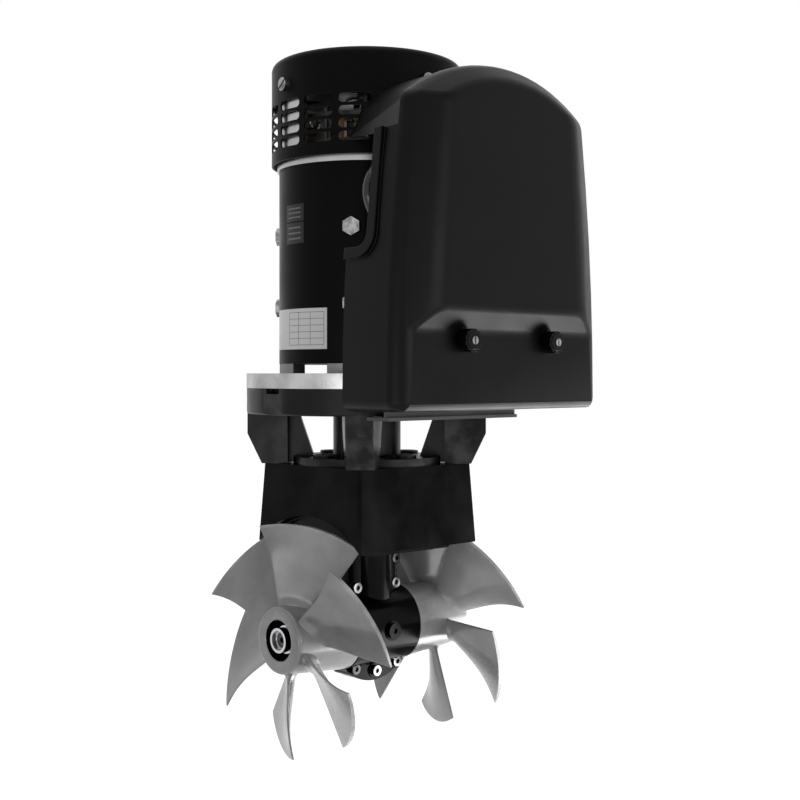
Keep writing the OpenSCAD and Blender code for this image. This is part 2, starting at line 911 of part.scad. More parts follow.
module coupling_hubs() {
  color([0.6, 0.6, 0.62]) {
    difference() {
      union() {
        bar(coupling_r, coupling_low_z, jaw_low_z);
        coupling_jaws(jaw_low_z - 2, 0);
      }
      bar(drive_shaft_d / 2 + seat_gap, coupling_low_z - 1, jaw_low_z + 1);
    }
    difference() {
      union() {
        bar(coupling_r, jaw_low_z + jaw_h + 1, jaw_low_z + jaw_h + 1 + hub_h);
        coupling_jaws(jaw_low_z + 1, 60);
      }
      bar(motor_shaft_d / 2 + seat_gap, jaw_low_z + jaw_h, jaw_low_z + 60);
    }
  }
}

module coupling_spider() {
  color([0.75, 0.2, 0.15])
    translate([0, 0, jaw_low_z + 0.5])
      linear_extrude(jaw_h) {
        circle(r = 9.8);
        for (i = [0 : 2 * jaw_count - 1])
          rotate([0, 0, 30 + 180 / jaw_count * i])
            ring_sector(coupling_r - 0.5, 8, -9.6, 9.6);
      }
}

// Upper bracket: base disc, column, four legs and rim in one casting

// The round outline of the rim and the motor plate with its four side flats
module flat_round(r) {
  intersection() {
    circle(r = r);
    square(2 * flat_y, center = true);
  }
}

rim_edge_r = 2;

module bracket_leg() {
  half_out = leg_out_w / 2;
  half_in = leg_in_w / 2;
  leg_r = rim_r - 0.4;
  slope = atan2(leg_r - leg_foot_r, leg_bend_z - saddle_top_z);
  flare = 50 * (half_in - half_out) / (rim_r - leg_in_r);
  intersection() {
    // Sides of the foot, which keep the sloping face at one width
    translate([leg_foot_r, 0, saddle_top_z])
      rotate([0, slope, 0])
        translate([0, 0, -40])
          linear_extrude(140)
            polygon([[3, -half_out], [3, half_out], [0, half_out], [-50, half_out + flare],
              [-50, -half_out - flare], [0, -half_out]]);
    translate([0, 0, saddle_top_z])
      linear_extrude(rim_top_z - 2 - saddle_top_z)
        intersection() {
          polygon([[leg_in_r, -half_in], [rim_r, -half_out], [rim_r + 5, 0],
            [rim_r, half_out], [leg_in_r, half_in]]);
          circle(r = leg_r);
        }
    rotate([90, 0, 0])
      linear_extrude(leg_in_w + 10, center = true)
        polygon([[leg_in_r, saddle_top_z], [leg_foot_r, saddle_top_z],
          [leg_r + 0.2, leg_bend_z], [leg_r + 0.2, rim_top_z], [leg_in_r, rim_top_z]]);
  }
}

web_t = 7;

module bracket_web() {
  rotate([90, 0, 0])
    linear_extrude(web_t, center = true)
      polygon([[leg_in_r + 3, saddle_top_z + 1], [44, saddle_top_z + 1], [44, base_top_z + 1],
        [55.6, rim_low_z], [55.6, rim_top_z - 2], [leg_in_r + 3, rim_top_z - 2]]);
}

plate_screw_r = 84;
motor_bolt_r = 60;
// Middle angles of the four motor feet, and of the bolts in them
foot_angles = [157, 220, 337, 40];
bolt_angles = [150, 231, 330, 51];

// Bosses in which the heads of the leg bolts are sunk
bolt_boss_r = 10.4;
bolt_boss_h = 2.5;
bolt_sink_h = 3.5;

module upper_bracket() {
  color([0.09, 0.09, 0.1])
    difference() {
      union() {
        bar(base_d / 2, saddle_top_z, base_top_z);
        four()
          translate([leg_bolt_r, 0, 0])
            bar(bolt_boss_r, saddle_top_z + 1, base_top_z + bolt_boss_h);
        bar(column_d / 2, saddle_top_z, rim_top_z - 1);
        intersection() {
          rotate_extrude()
            difference() {
              union() {
                translate([0, rim_low_z + rim_edge_r])
                  square([rim_r, rim_h - rim_edge_r]);
                translate([0, rim_low_z])
                  square([rim_r - rim_edge_r, rim_edge_r + 1]);
                translate([rim_r - rim_edge_r, rim_low_z + rim_edge_r])
                  circle(r = rim_edge_r, $fn = 32);
              }
              translate([-1, rim_low_z - 1])
                square([rim_r - rim_wall + 1, rim_h - bracket_top_t + 1]);
            }
          translate([-flat_y, -flat_y, rim_low_z - 1])
            cube([2 * flat_y, 2 * flat_y, rim_h + 2]);
        }
        four(45) {
          bracket_leg();
          bracket_web();
        }
      }
      bar(column_bore / 2, base_top_z, rim_top_z + 1);
      bar(15, saddle_top_z - 1, rim_top_z);
      // Slots in the rim under the motor plate
      for (s = [0, 180])
        rotate([0, 0, s])
          translate([rim_r - 8, -8, rim_top_z - 4.3])
            cube([20, 16, 10]);
      leg_bolt_bars(leg_bolt_d / 2 + 0.3, 0);
      four()
        translate([leg_bolt_r, 0, 0])
          bar(bolt_boss_r - 1.8, base_top_z - bolt_sink_h, base_top_z + 10);
      four(45)
        translate([plate_screw_r, 0, 0])
          bar(3 + seat_gap, rim_top_z - 16, rim_top_z + 1);
      for (a = bolt_angles)
        rotate([0, 0, a])
          translate([motor_bolt_r, 0, 0])
            bar(7, rim_top_z - 20, rim_top_z + 1);
    }
}

washer_t = 1.6;
head_z = base_top_z - bolt_sink_h + washer_t;

module leg_bolts() {
  color([0.8, 0.8, 0.8])
    four()
      translate([leg_bolt_r, 0, head_z])
        socket_screw(leg_bolt_d / 2, head_z - leg_bolt_low_z - 0.5, 6.5, 3);
}

module leg_bolt_washers() {
  color([0.82, 0.82, 0.82])
    four()
      translate([leg_bolt_r, 0, 0])
        tube(bolt_boss_r - 2.1, leg_bolt_d / 2 + 0.2, head_z - washer_t, head_z);
}

plate_hole_r = 26;

module motor_plate() {
  color([0.78, 0.78, 0.79])
    difference() {
      translate([0, 0, rim_top_z])
        linear_extrude(plate_t)
          difference() {
            flat_round(plate_d / 2);
            circle(r = plate_hole_r);
          }
      four(45)
        translate([plate_screw_r, 0, 0]) {
          bar(3 + seat_gap, rim_top_z - 1, plate_top_z + 1);
          bar(5.4, plate_top_z - 6.2, plate_top_z + 1);
        }
      for (a = bolt_angles)
        rotate([0, 0, a])
          translate([motor_bolt_r, 0, 0]) {
            bar(3 + seat_gap, rim_top_z - 1, plate_top_z + 1);
            bar(5.4, rim_top_z - 1, rim_top_z + 6.2);
          }
      for (s = [-1, 1])
        translate([s * tray_screw_x, -flat_y + 14, rim_top_z + plate_t / 2])
          rotate([90, 0, 0])
            cylinder(r = 2 + seat_gap, h = 20);
    }
}

tray_screw_x = 9;

// A socket head screw standing head up on z = 0, reaching down by len
module socket_screw(r, len, head_r, head_h) {
  difference() {
    union() {
      translate([0, 0, -len])
        cylinder(r = r, h = len + 0.5);
      cylinder(r = head_r, h = head_h);
    }
    translate([0, 0, head_h * 0.45])
      cylinder(r = head_r * 0.55, h = head_h, $fn = 6);
  }
}

module plate_screws() {
  color([0.75, 0.75, 0.76]) {
    four(45)
      translate([plate_screw_r, 0, plate_top_z - 6.2])
        socket_screw(3, 21, 5, 6);
    for (s = [-1, 1])
      translate([s * tray_screw_x, -flat_y - tray_t, rim_top_z + plate_t / 2])
        rotate([90, 0, 0])
          socket_screw(2, 12, 4, 2.6);
  }
}

// Motor

module drive_end_shield() {
  color([0.72, 0.72, 0.73])
    difference() {
      union() {
        bar(yoke_in_r - seat_gap, yoke_low_z - 0.5, yoke_low_z + 8);
        bar(33, plate_top_z, yoke_low_z + 1);
        bar(25, plate_top_z, motor_low_z + motor_bearing[2] / 2 + 1);
        for (a = foot_angles)
          translate([0, 0, plate_top_z])
            linear_extrude(foot_h)
              rotate([0, 0, a])
                ring_sector(yoke_r - 0.3, 63.4, -17, 17);
        // Lugs inside the feet, with the bolt holes
        for (a = bolt_angles)
          translate([0, 0, plate_top_z])
            linear_extrude(foot_h + 1)
              rotate([0, 0, a])
                ring_sector(yoke_in_r - 0.2, 53, -7, 7);
      }
      bar(motor_bearing[1] + seat_gap, motor_low_z - motor_bearing[2] / 2, yoke_top_z);
      bar(motor_shaft_d / 2 + run_gap, 0, yoke_top_z);
      for (a = bolt_angles)
        rotate([0, 0, a])
          translate([motor_bolt_r, 0, 0])
            bar(3 + seat_gap, plate_top_z - 1, plate_top_z + 13);
    }
}

module motor_mount_bolts() {
  color([0.75, 0.75, 0.76])
    for (a = bolt_angles)
      rotate([0, 0, a])
        translate([motor_bolt_r, 0, rim_top_z + 6.2])
          mirror([0, 0, 1])
            socket_screw(3, 18, 5, 6);
}

pole_mid_z = yoke_low_z + 76;
pole_bolt_dz = 29.6;
pole_bolt_r = 4;
spot_r = yoke_r - 1.2;

// Children at the eight pole bolt places, facing outwards along their X
module at_pole_bolts() {
  four(motor_turn + 45)
    for (s = [-1, 1])
      translate([0, 0, pole_mid_z + s * pole_bolt_dz])
        rotate([0, 90, 0])
          children();
}

// Studs of the motor, on the side of the control plate
terminal_angles = [246, 264, 276, 294];
terminal_z = yoke_top_z - 8;

module at_terminals() {
  for (a = terminal_angles)
    rotate([0, 0, a])
      translate([0, 0, terminal_z])
        rotate([0, 90, 0])
          children();
}

module motor_yoke() {
  color([0.09, 0.09, 0.1])
    difference() {
      tube(yoke_r, yoke_in_r, yoke_low_z, yoke_top_z);
      at_pole_bolts() {
        cylinder(r = pole_bolt_r + seat_gap, h = yoke_r + 10);
        translate([0, 0, spot_r])
          cylinder(r = 9, h = 10);
      }
      at_terminals()
        cylinder(r = 5 + seat_gap, h = yoke_r + 10);
    }
}

pole_low_z = pole_mid_z - armature_l / 2 - 1;
pole_high_z = pole_mid_z + armature_l / 2 + 1;

module pole_shoes() {
  color([0.4, 0.4, 0.42])
    difference() {
      four(motor_turn + 45)
        translate([0, 0, pole_low_z])
          linear_extrude(pole_high_z - pole_low_z) {
            ring_sector(yoke_in_r - seat_gap, armature_d / 2 + air_gap + 1, -17, 17);
            ring_sector(armature_d / 2 + air_gap + 5, armature_d / 2 + air_gap, -34, 34);
          }
      at_pole_bolts()
        cylinder(r = pole_bolt_r + seat_gap, h = yoke_r);
    }
}

coil_end = 11;

module field_coils() {
  color([0.55, 0.3, 0.15])
    difference() {
      four(motor_turn + 45)
        translate([0, 0, pole_low_z - coil_end])
          linear_extrude(pole_high_z - pole_low_z + 2 * coil_end)
            ring_sector(yoke_in_r - 0.4, armature_d / 2 + air_gap + 5.3, -40, 40);
      four(motor_turn + 45)
        translate([0, 0, pole_low_z - 0.2])
          linear_extrude(pole_high_z - pole_low_z + 0.4)
            ring_sector(yoke_in_r + 1, armature_d / 2, -17.4, 17.4);
    }
}

module pole_bolts() {
  color([0.25, 0.25, 0.26])
    at_pole_bolts()
      translate([0, 0, spot_r]) {
        cylinder(r = 7.4, h = 5, $fn = 6);
        translate([0, 0, -16])
          cylinder(r = pole_bolt_r, h = 17);
      }
}

module motor_terminals() {
  color([0.7, 0.62, 0.35])
    at_terminals()
      translate([0, 0, yoke_in_r - 2]) {
        cylinder(r = 5, h = yoke_wall + 5);
        cylinder(r = 4, h = yoke_wall + 17);
        translate([0, 0, yoke_wall + 8.5])
          cylinder(r = 7.4, h = 5, $fn = 6);
      }
}

// Armature parts, all turning with the motor shaft

module motor_shaft() {
  color([0.8, 0.8, 0.82]) {
    bar(motor_shaft_d / 2, jaw_low_z + jaw_h + 1.5, cap_low_z + 68);
    bar(motor_shaft_d / 2 + 2, motor_low_z + motor_bearing[2] / 2, motor_low_z + 9);
  }
}

module armature() {
  low = pole_mid_z - armature_l / 2;
  high = pole_mid_z + armature_l / 2;
  r = armature_d / 2;
  color([0.45, 0.42, 0.4])
    rotate_extrude()
      polygon([[motor_shaft_d / 2 + seat_gap, low - 8], [r - 8, low - 8], [r - 4, low - 4],
        [r - 4, low], [r, low], [r, high], [r - 4, high], [r - 4, high + 4],
        [r - 9, high + 10], [commutator_d / 2 + 3, commutator_z - 7],
        [commutator_d / 2 + 3, commutator_z - 0.1],
        [motor_shaft_d / 2 + seat_gap, commutator_z - 0.1]]);
}

commutator_z = cap_low_z + 6;
commutator_h = 34;

module commutator() {
  color([0.72, 0.45, 0.3])
    tube(commutator_d / 2, motor_shaft_d / 2 + seat_gap, commutator_z, commutator_z + commutator_h);
}

// Brush end

post_low_z = yoke_top_z + 8;
post_angle = 84;
top_plate_z = cap_low_z + 55;
top_plate_h = 15;

module brush_end_shield() {
  color([0.74, 0.74, 0.75])
    difference() {
      union() {
        tube(ring_d / 2, 56, yoke_top_z, post_low_z);
        tube(yoke_in_r - seat_gap, 56, yoke_top_z - 2.6, yoke_top_z + 1);
        four(post_angle)
          translate([0, 0, post_low_z - 1])
            linear_extrude(top_plate_z - post_low_z + 2)
              ring_sector(cap_in_r - 2, 66, -14, 9);
        bar(cap_in_r - seat_gap, top_plate_z, top_plate_z + top_plate_h - 7);
        bar(motor_bearing[1] + 6, top_plate_z, top_plate_z + top_plate_h);
      }
      bar(motor_bearing[1] + seat_gap, top_plate_z - 1, motor_high_z + motor_bearing[2] / 2);
      bar(motor_shaft_d / 2 + 2, top_plate_z, cap_top_z);
      at_cap_screws()
        cylinder(r = 2.5 + seat_gap, h = cap_r + 5);
      // Lightening holes in the end plate
      four(post_angle + 45)
        translate([50, 0, 0])
          bar(14, top_plate_z - 1, cap_top_z);
    }
}

module at_cap_screws() {
  four(post_angle)
    translate([0, 0, cap_low_z + cap_screw_h - 4])
      rotate([0, 90, 0])
        children();
}

carrier_h = 4;

module brush_carrier() {
  color([0.35, 0.2, 0.12])
    tube(65, commutator_d / 2 + 4, post_low_z, post_low_z + carrier_h);
}

box_w = 19;
box_h = 25;
box_low_z = post_low_z + carrier_h + seat_gap;
box_r0 = commutator_d / 2 + 2;
box_r1 = commutator_d / 2 + 24;
brush_w = box_w - 4;
brush_h = box_h - 5;

module at_brushes() {
  four(motor_turn + 45)
    children();
}

module brush_boxes() {
  color([0.75, 0.62, 0.3])
    at_brushes()
      difference() {
        translate([box_r0, -box_w / 2, box_low_z])
          cube([box_r1 - box_r0, box_w, box_h]);
        translate([box_r0 - 1, -brush_w / 2 - 0.1, box_low_z + 2.4])
          cube([box_r1 - box_r0 + 2, brush_w + 0.2, brush_h + 0.2]);
        // Slot for the spring arm
        translate([box_r0 + 8, -3.5, box_low_z + box_h - 4])
          cube([box_r1, 7, 5]);
      }
}

module brushes() {
  color([0.15, 0.15, 0.16])
    at_brushes()
      difference() {
        translate([commutator_d / 2 - 4, -brush_w / 2, box_low_z + 2.5])
          cube([21, brush_w, brush_h]);
        bar(commutator_d / 2 + 0.05, box_low_z - 1, cap_top_z);
      }
}

spring_r = 5.5;
spring_x = box_r1 - 6;
brush_back_x = commutator_d / 2 + 17;

module brush_springs() {
  color([0.7, 0.7, 0.72])
    at_brushes() {
      translate([brush_back_x + 0.1, -2.5, box_low_z + 7])
        cube([0.8, 5, box_h - 7 + spring_r]);
      translate([spring_x, 0, box_low_z + box_h + spring_r])
        rotate([90, 0, 0])
          difference() {
            cylinder(r = spring_r, h = 5, center = true);
            cylinder(r = spring_r - 2.5, h = 6, center = true);
          }
    }
}

ring_bar = 3;
bus_r = 62;

module brush_bus_rings() {
  color([0.8, 0.8, 0.8]) {
    for (z = [box_low_z + 3, box_low_z + 24])
      tube(bus_r, bus_r - ring_bar, z, z + 5);
    // Standing studs that carry the two rings
    for (k = [0 : 7])
      rotate([0, 0, motor_turn + 45 * k + 22.5])
        translate([bus_r - ring_bar / 2, 0, 0])
          bar(1.9, post_low_z + carrier_h, box_low_z + 32);
  }
}

module motor_cap() {
  slot_w = 2 * cap_r * sin(slot_angle / 2);
  color([0.1, 0.1, 0.11])
    difference() {
      rotate_extrude()
        difference() {
          union() {
            translate([0, cap_low_z])
              square([cap_r, cap_h - cap_edge_r]);
            translate([0, cap_top_z - cap_edge_r - 1])
              square([cap_r - cap_edge_r, cap_edge_r + 1]);
            translate([cap_r - cap_edge_r, cap_top_z - cap_edge_r])
              circle(r = cap_edge_r, $fn = 48);
          }
          translate([-1, cap_low_z - 1])
            square([cap_in_r + 1, cap_h - cap_edge_r + 1]);
          translate([-1, cap_top_z - cap_edge_r - 1])
            square([cap_r - cap_edge_r + 1, cap_edge_r + 1 - cap_t]);
          translate([cap_r - cap_edge_r, cap_top_z - cap_edge_r])
            circle(r = cap_edge_r - cap_t, $fn = 48);
          translate([-10, cap_low_z - 1])
            square([10, cap_h + 2]);
        }
      for (c = [0 : slot_cols - 1])
        rotate([0, 0, 176.5 + 360 / slot_cols * c])
          translate([0, 0, cap_low_z + slot_low])
            rotate([90, 0, 90])
              translate([0, 0, cap_r - 12])
                linear_extrude(20)
                  for (row = [0 : slot_rows - 1])
                    translate([0, row * slot_pitch])
                      slot_shape(slot_w, slot_h);
      at_cap_screws()
        cylinder(r = 2.7, h = cap_r + 5);
    }
}

module cap_screws() {
  color([0.8, 0.8, 0.8])
    at_cap_screws()
      translate([0, 0, cap_r])
        difference() {
          union() {
            translate([0, 0, 0.02])
              cylinder(r = 5.3, h = 4.4);
            translate([0, 0, -12])
              cylinder(r = 2.5, h = 13);
          }
          rotate([0, 0, 35])
            translate([-0.7, -6, 2.8])
              cube([1.4, 12, 3]);
        }
}

// Electrical parts on the control plate, behind the cover

upright_y = flat_y + tray_t;
foot_z = rim_low_z - 2.6;

module control_plate() {
  color([0.2, 0.2, 0.21])
    difference() {
      union() {
        translate([-tray_hw, -upright_y, foot_z])
          cube([2 * tray_hw, tray_t, tray_top_z - foot_z]);
        translate([-tray_hw, -upright_y - 2.5, foot_z])
          cube([2 * tray_hw, upright_y + 2.5 - 78.5, tray_t]);
      }
      for (s = [-1, 1]) {
        translate([s * tray_screw_x, -90, rim_top_z + plate_t / 2])
          rotate([90, 0, 0])
            cylinder(r = 2.3, h = 20);
        translate([s * knob_span / 2, -90, knob_z])
          rotate([90, 0, 0])
            cylinder(r = 3 + seat_gap, h = 20);
        translate([s * lead_in_x, -90, lead_low_z])
          rotate([90, 0, 0])
            cylinder(r = lead_r + 1.2, h = 20);
      }
    }
}

// Threaded studs that hold the cover, with a nut on each side of the plate
stud_end_y = cover_face_y + 2;

module cover_studs() {
  color([0.85, 0.85, 0.86])
    for (s = [-1, 1])
      translate([s * knob_span / 2, -flat_y, knob_z])
        rotate([90, 0, 0]) {
          difference() {
            translate([0, 0, -6])
              cylinder(r = 3, h = stud_end_y - flat_y + 6);
            translate([-0.5, -4, stud_end_y - flat_y - 1])
              cube([1, 8, 3]);
          }
          translate([0, 0, tray_t])
            cylinder(r = 5.7, h = 4, $fn = 6);
          translate([0, 0, -4])
            cylinder(r = 5.7, h = 4, $fn = 6);
        }
}

can_y = upright_y + can_d / 2 + 1;
can_low_z = 250;
can_high_z = can_low_z + can_l;

module contactor_cans() {
  color([0.3, 0.3, 0.31])
    for (s = [-1, 1]) {
      translate([s * can_span / 2, -can_y, can_low_z]) {
        cylinder(r = can_d / 2, h = can_l - 12);
        cylinder(r = can_d / 2 - 1.5, h = can_l);
      }
      // Foot strap against the plate
      translate([s * can_span / 2 - 12, -upright_y - 12, can_low_z + 14])
        cube([24, 12, 30]);
    }
}

stud_dx = 10;
terminal_stud_h = 25;

module contactor_terminals() {
  color([0.75, 0.6, 0.35])
    for (s = [-1, 1], t = [-1, 1])
      translate([s * can_span / 2 + t * stud_dx, -can_y, can_high_z]) {
        cylinder(r = 4, h = terminal_stud_h);
        translate([0, 0, 0.02])
          cylinder(r = 6.5, h = 3);
        translate([0, 0, 13.6])
          cylinder(r = 7.2, h = 4.5, $fn = 6);
      }
}

module control_box() {
  color([0.1, 0.1, 0.11])
    difference() {
      translate([-36, -upright_y - 34, 188])
        cube([72, 34, 38]);
      // Pocket over the screws behind the box
      translate([-tray_screw_x - 6, -upright_y - 3.4, rim_top_z + plate_t / 2 - 6])
        cube([2 * tray_screw_x + 12, 5, 12]);
      // Socket for the control cable
      translate([-10, -upright_y - 36, 198])
        cube([20, 16, 14]);
    }
}

module fuse_holder() {
  color([0.7, 0.66, 0.5])
    difference() {
      translate([-37, -upright_y - 16, 230])
        cube([74, 16, 15]);
      for (s = [-1, 1])
        translate([s * 26, -upright_y - 7, 226])
          cylinder(r = 3, h = 30);
    }
}

// Battery leads from the motor to the contactors, each one loop of round cable
lead_r = 4.5;
lead_y = 88;
loop_r = 22;
loop_x = 54.5;
lead_high_z = terminal_z;
lead_low_z = lead_high_z - 2 * loop_r;
bend_r = 10;
lead_in_x = can_span / 2 + stud_dx;

module motor_leads() {
  color([0.06, 0.06, 0.06])
    for (s = [0, 1])
      mirror([s, 0, 0]) {
        translate([-loop_x, -lead_y, lead_high_z])
          rotate([0, 90, 0])
            cylinder(r = lead_r, h = loop_x - 38);
        translate([-loop_x, -lead_y, lead_high_z - loop_r])
          rotate([90, 0, 0])
            rotate([0, 0, 90])
              rotate_extrude(angle = 180)
                translate([loop_r, 0])
                  circle(r = lead_r, $fn = 32);
        translate([-loop_x, -lead_y, lead_low_z])
          rotate([0, 90, 0])
            cylinder(r = lead_r, h = loop_x - lead_in_x - bend_r);
        translate([-lead_in_x - bend_r, -lead_y - bend_r, lead_low_z])
          rotate_extrude(angle = 90)
            translate([bend_r, 0])
              circle(r = lead_r, $fn = 32);
        translate([-lead_in_x, -lead_y - bend_r, lead_low_z])
          rotate([90, 0, 0])
            cylinder(r = lead_r, h = can_y - 4.2 - lead_y - bend_r);
      }
}

// Cover: a moulded shell with a sloping front, side walls and a hood that reaches to the motor

arch_r = 154;
face_arch_r = 130;
cover_corner_r = 11;
cover_foot_r = 8;
arch_steps = 20;
side_steps = 5;
side_lean = 8;
slab_t = 0.2;
// Rounding of the front edge, and of the edge of the front face
edge_round = 12;
face_round = 30;
edge_to_face = 26;

function arc_points(x, z, r, a0, a1, n) =
  [for (i = [0 : n]) let (a = a0 + (a1 - a0) * i / n) [x + r * cos(a), z + r * sin(a)]];

// The cover's outline seen from the front: bowed sides, round corners and an arched top
function cover_outline(foot_hw, side_hw, top_z, big_r, d) = let (
    r = big_r - d,
    corner = cover_corner_r - d,
    mid_z = top_z - big_r,
    cx = side_hw - cover_corner_r,
    cz = mid_z + sqrt(pow(r - corner, 2) - cx * cx),
    span = asin(cx / (r - corner)),
    low_z = cover_low_z + cover_foot_r,
    foot = arc_points(foot_hw - cover_foot_r, low_z, cover_foot_r - d, -90, 0, 4),
    shoulder = arc_points(cx, cz, corner, side_lean, 90 - span, 6),
    bow = foot_hw - d - shoulder[0][0],
    side = [for (i = [1 : side_steps - 1]) let (t = i / side_steps)
      [foot_hw - d - bow * t * t, low_z + (shoulder[0][1] - low_z) * t]],
    right = concat(foot, side, shoulder),
    arch = arc_points(0, mid_z, r, 90 - span, 90 + span, arch_steps)
  ) concat(right, [for (i = [1 : arch_steps - 1]) arch[i]],
    [for (i = [len(right) - 1 : -1 : 0]) [-right[i][0], right[i][1]]]);

face_low_hw = face_foot_hw + 3.5;

function edge_outline(d) = cover_outline(cover_foot_hw, cover_top_hw, cover_top_z, arch_r, d);
function face_outline(d) = cover_outline(face_low_hw, face_top_hw, face_top_z, face_arch_r, d);

front_slope = atan2(cover_face_y - cover_edge_y, edge_to_face);
round_start_y = cover_edge_y - edge_round * tan((90 - front_slope) / 2);
round_end = edge_to_face + face_round * tan(front_slope / 2);

// Rings of the cover's front: distance from the axis, and share of the way to the face outline
function front_rings(d) = concat(
  [[cover_back_y - (d > 0 ? 5 : 0), 0]],
  [for (i = [0 : 4]) let (a = (90 - front_slope) * i / 4, r = edge_round - d)
    [round_start_y + r * sin(a), r * (1 - cos(a)) / edge_to_face]],
  [for (i = [0 : 3]) let (a = front_slope * (1 - i / 3), r = face_round - d)
    [cover_face_y - face_round + r * cos(a), (round_end - d - r * sin(a)) / edge_to_face]]);

// A closed solid through rings of points, each one [distance in front of the axis, outline]
module ring_solid(rings) {
  n = len(rings[0][1]);
  last = (len(rings) - 1) * n;
  points = [for (ring = rings, p = ring[1]) [p[0], -ring[0], p[1]]];
  sides = [for (k = [0 : len(rings) - 2], i = [0 : n - 1]) let (a = k * n + i, b = k * n + (i + 1) % n)
    each [[a, a + n, b + n], [a, b + n, b]]];
  polyhedron(points, concat([[for (i = [0 : n - 1]) i]], sides, [[for (i = [n - 1 : -1 : 0]) last + i]]));
}

// Outside of the box part of the cover, drawn in by d
module cover_box(d) {
  edge = edge_outline(d);
  face = face_outline(d);
  flat_y = -cover_face_y + recess_depth + d;
  difference() {
    ring_solid([for (ring = front_rings(d)) [ring[0], edge + ring[1] * (face - edge)]]);
    // Recess behind the knobs
    translate([150, 0, 0])
      rotate([0, -90, 0])
        linear_extrude(300)
          polygon([[recess_low_z, flat_y],
            [recess_top_z + 2, -cover_face_y - 2 + d], [recess_top_z + 2, -cover_face_y - 20],
            [100, -cover_face_y - 20], [100, flat_y]]);
    // Rounding of the lower front edge
    translate([150, 0, 0])
      rotate([0, -90, 0])
        linear_extrude(300)
          polygon(concat([[cover_low_z - 5, flat_y - 5]],
            arc_points(cover_low_z + low_round, flat_y + low_round - d, low_round - d, 180, 270, 6),
            [[cover_low_z + low_round, flat_y - 5]]));
  }
}

low_round = 7;
hood_back_y = 46;
hood_low_z = 381;
hood_tip_z = 388.5;
// The hood joins the box just behind the rounding of the front edge
hood_front_y = 142;
// Half of the hood outline at its back, from the lower edge to the top
hood_side = [[60, 388], [50.8, 410.5], [44, 417], [36, 424.5], [27.5, 430], [14, 433.6], [0, 435]];

// Outside of the hood, drawn in by d
module hood_form(d) {
  low = hood_low_z - (d > 0 ? 5 : 1);
  side = [for (p = hood_side) [max(0.01, p[0] - d), p[1] > 390 ? p[1] - d : p[1]]];
  hull() {
    intersection() {
      translate([0, -hood_front_y - 0.7, 0])
        rotate([90, 0, 0])
          linear_extrude(slab_t)
            polygon(edge_outline(d + 0.4));
      translate([-200, -200, low])
        cube([400, 400, 200]);
    }
    translate([0, -hood_back_y + (d > 0 ? 1 : 0), 0])
      rotate([90, 0, 0])
        for (m = [0, 1])
          mirror([m, 0, 0])
            linear_extrude(slab_t)
              polygon(concat([[0, low], [side[0][0], low]], side));
  }
}

notch_r = 10;
lip_w = 8;
lip_t = 3.5;

// Lower and front edge of the notch in side view, grown by g, up to z_top
function notch_edge(g, z_top) = concat(
  arc_points(-notch_y + notch_r, notch_low_z + notch_r, notch_r + g, 270, 180, 6),
  [[-notch_y - g, z_top]]);

// Half width of the cover at the height of z
function side_x(z) = let (top = edge_outline(0)[side_steps + 4], t = (z - cover_low_z - cover_foot_r)
  / (top[1] - cover_low_z - cover_foot_r)) cover_foot_hw - (cover_foot_hw - top[0]) * t * t;

// Raised lip round the notch on one side
module notch_lip() {
  low = notch_low_z - lip_w - 1;
  high = hood_low_z + 1;
  back_y = -cover_back_y - 1;
  near = concat([[back_y, notch_low_z + 2]], notch_edge(-2, high));
  far = concat([[back_y, notch_low_z - lip_w]], notch_edge(lip_w, high));
  intersection() {
    rotate([90, 0, 90])
      linear_extrude(130)
        polygon(concat(near, [for (i = [len(far) - 1 : -1 : 0]) far[i]]));
    rotate([90, 0, 0])
      linear_extrude(200)
        polygon([[side_x(low) - 4, low], [side_x(low) + lip_t, low],
          [side_x(high) + lip_t, high], [side_x(high) - 4, high]]);
  }
}

hood_cut_r = cap_r + 0.9;

module cover() {
  color([0.08, 0.08, 0.09])
    difference() {
      union() {
        difference() {
          union() {
            cover_box(0);
            for (m = [0, 1])
              mirror([m, 0, 0])
                notch_lip();
          }
          // Open sides at the notch, and the open top under the hood
          rotate([90, 0, 90])
            linear_extrude(300, center = true)
              polygon(concat(notch_edge(0, 600), [[0, 600], [0, notch_low_z]]));
          translate([-150, -hood_front_y, hood_low_z])
            cube([300, 100, 300]);
        }
        difference() {
          hood_form(0);
          rotate([90, 0, 90])
            linear_extrude(300, center = true)
              polygon([[-notch_y, hood_low_z - 1], [-notch_y, 300], [-30, 300],
                [-30, hood_tip_z + 1]]);
        }
      }
      difference() {
        cover_box(cover_wall);
        translate([-150, -hood_front_y - 0.5, hood_low_z - cover_wall])
          cube([300, 100, 300]);
      }
      hood_form(cover_wall);
      at_cap_screws()
        cylinder(r = 6.5, h = cap_r + 8);
      bar(hood_cut_r, 300, 500);
      for (s = [-1, 1])
        translate([s * knob_span / 2, -100, knob_z])
          rotate([90, 0, 0])
            cylinder(r = 3.4, h = 100);
      // Room for the control plate and two cable openings in the floor
      translate([-tray_hw - 2, -upright_y - 4, cover_low_z - 1])
        cube([2 * tray_hw + 4, 20, cover_wall + 2]);
      for (s = [-1, 1])
        translate([s * 60, -125, cover_low_z - 1])
          cylinder(r = 8, h = cover_wall + 2);
    }
}

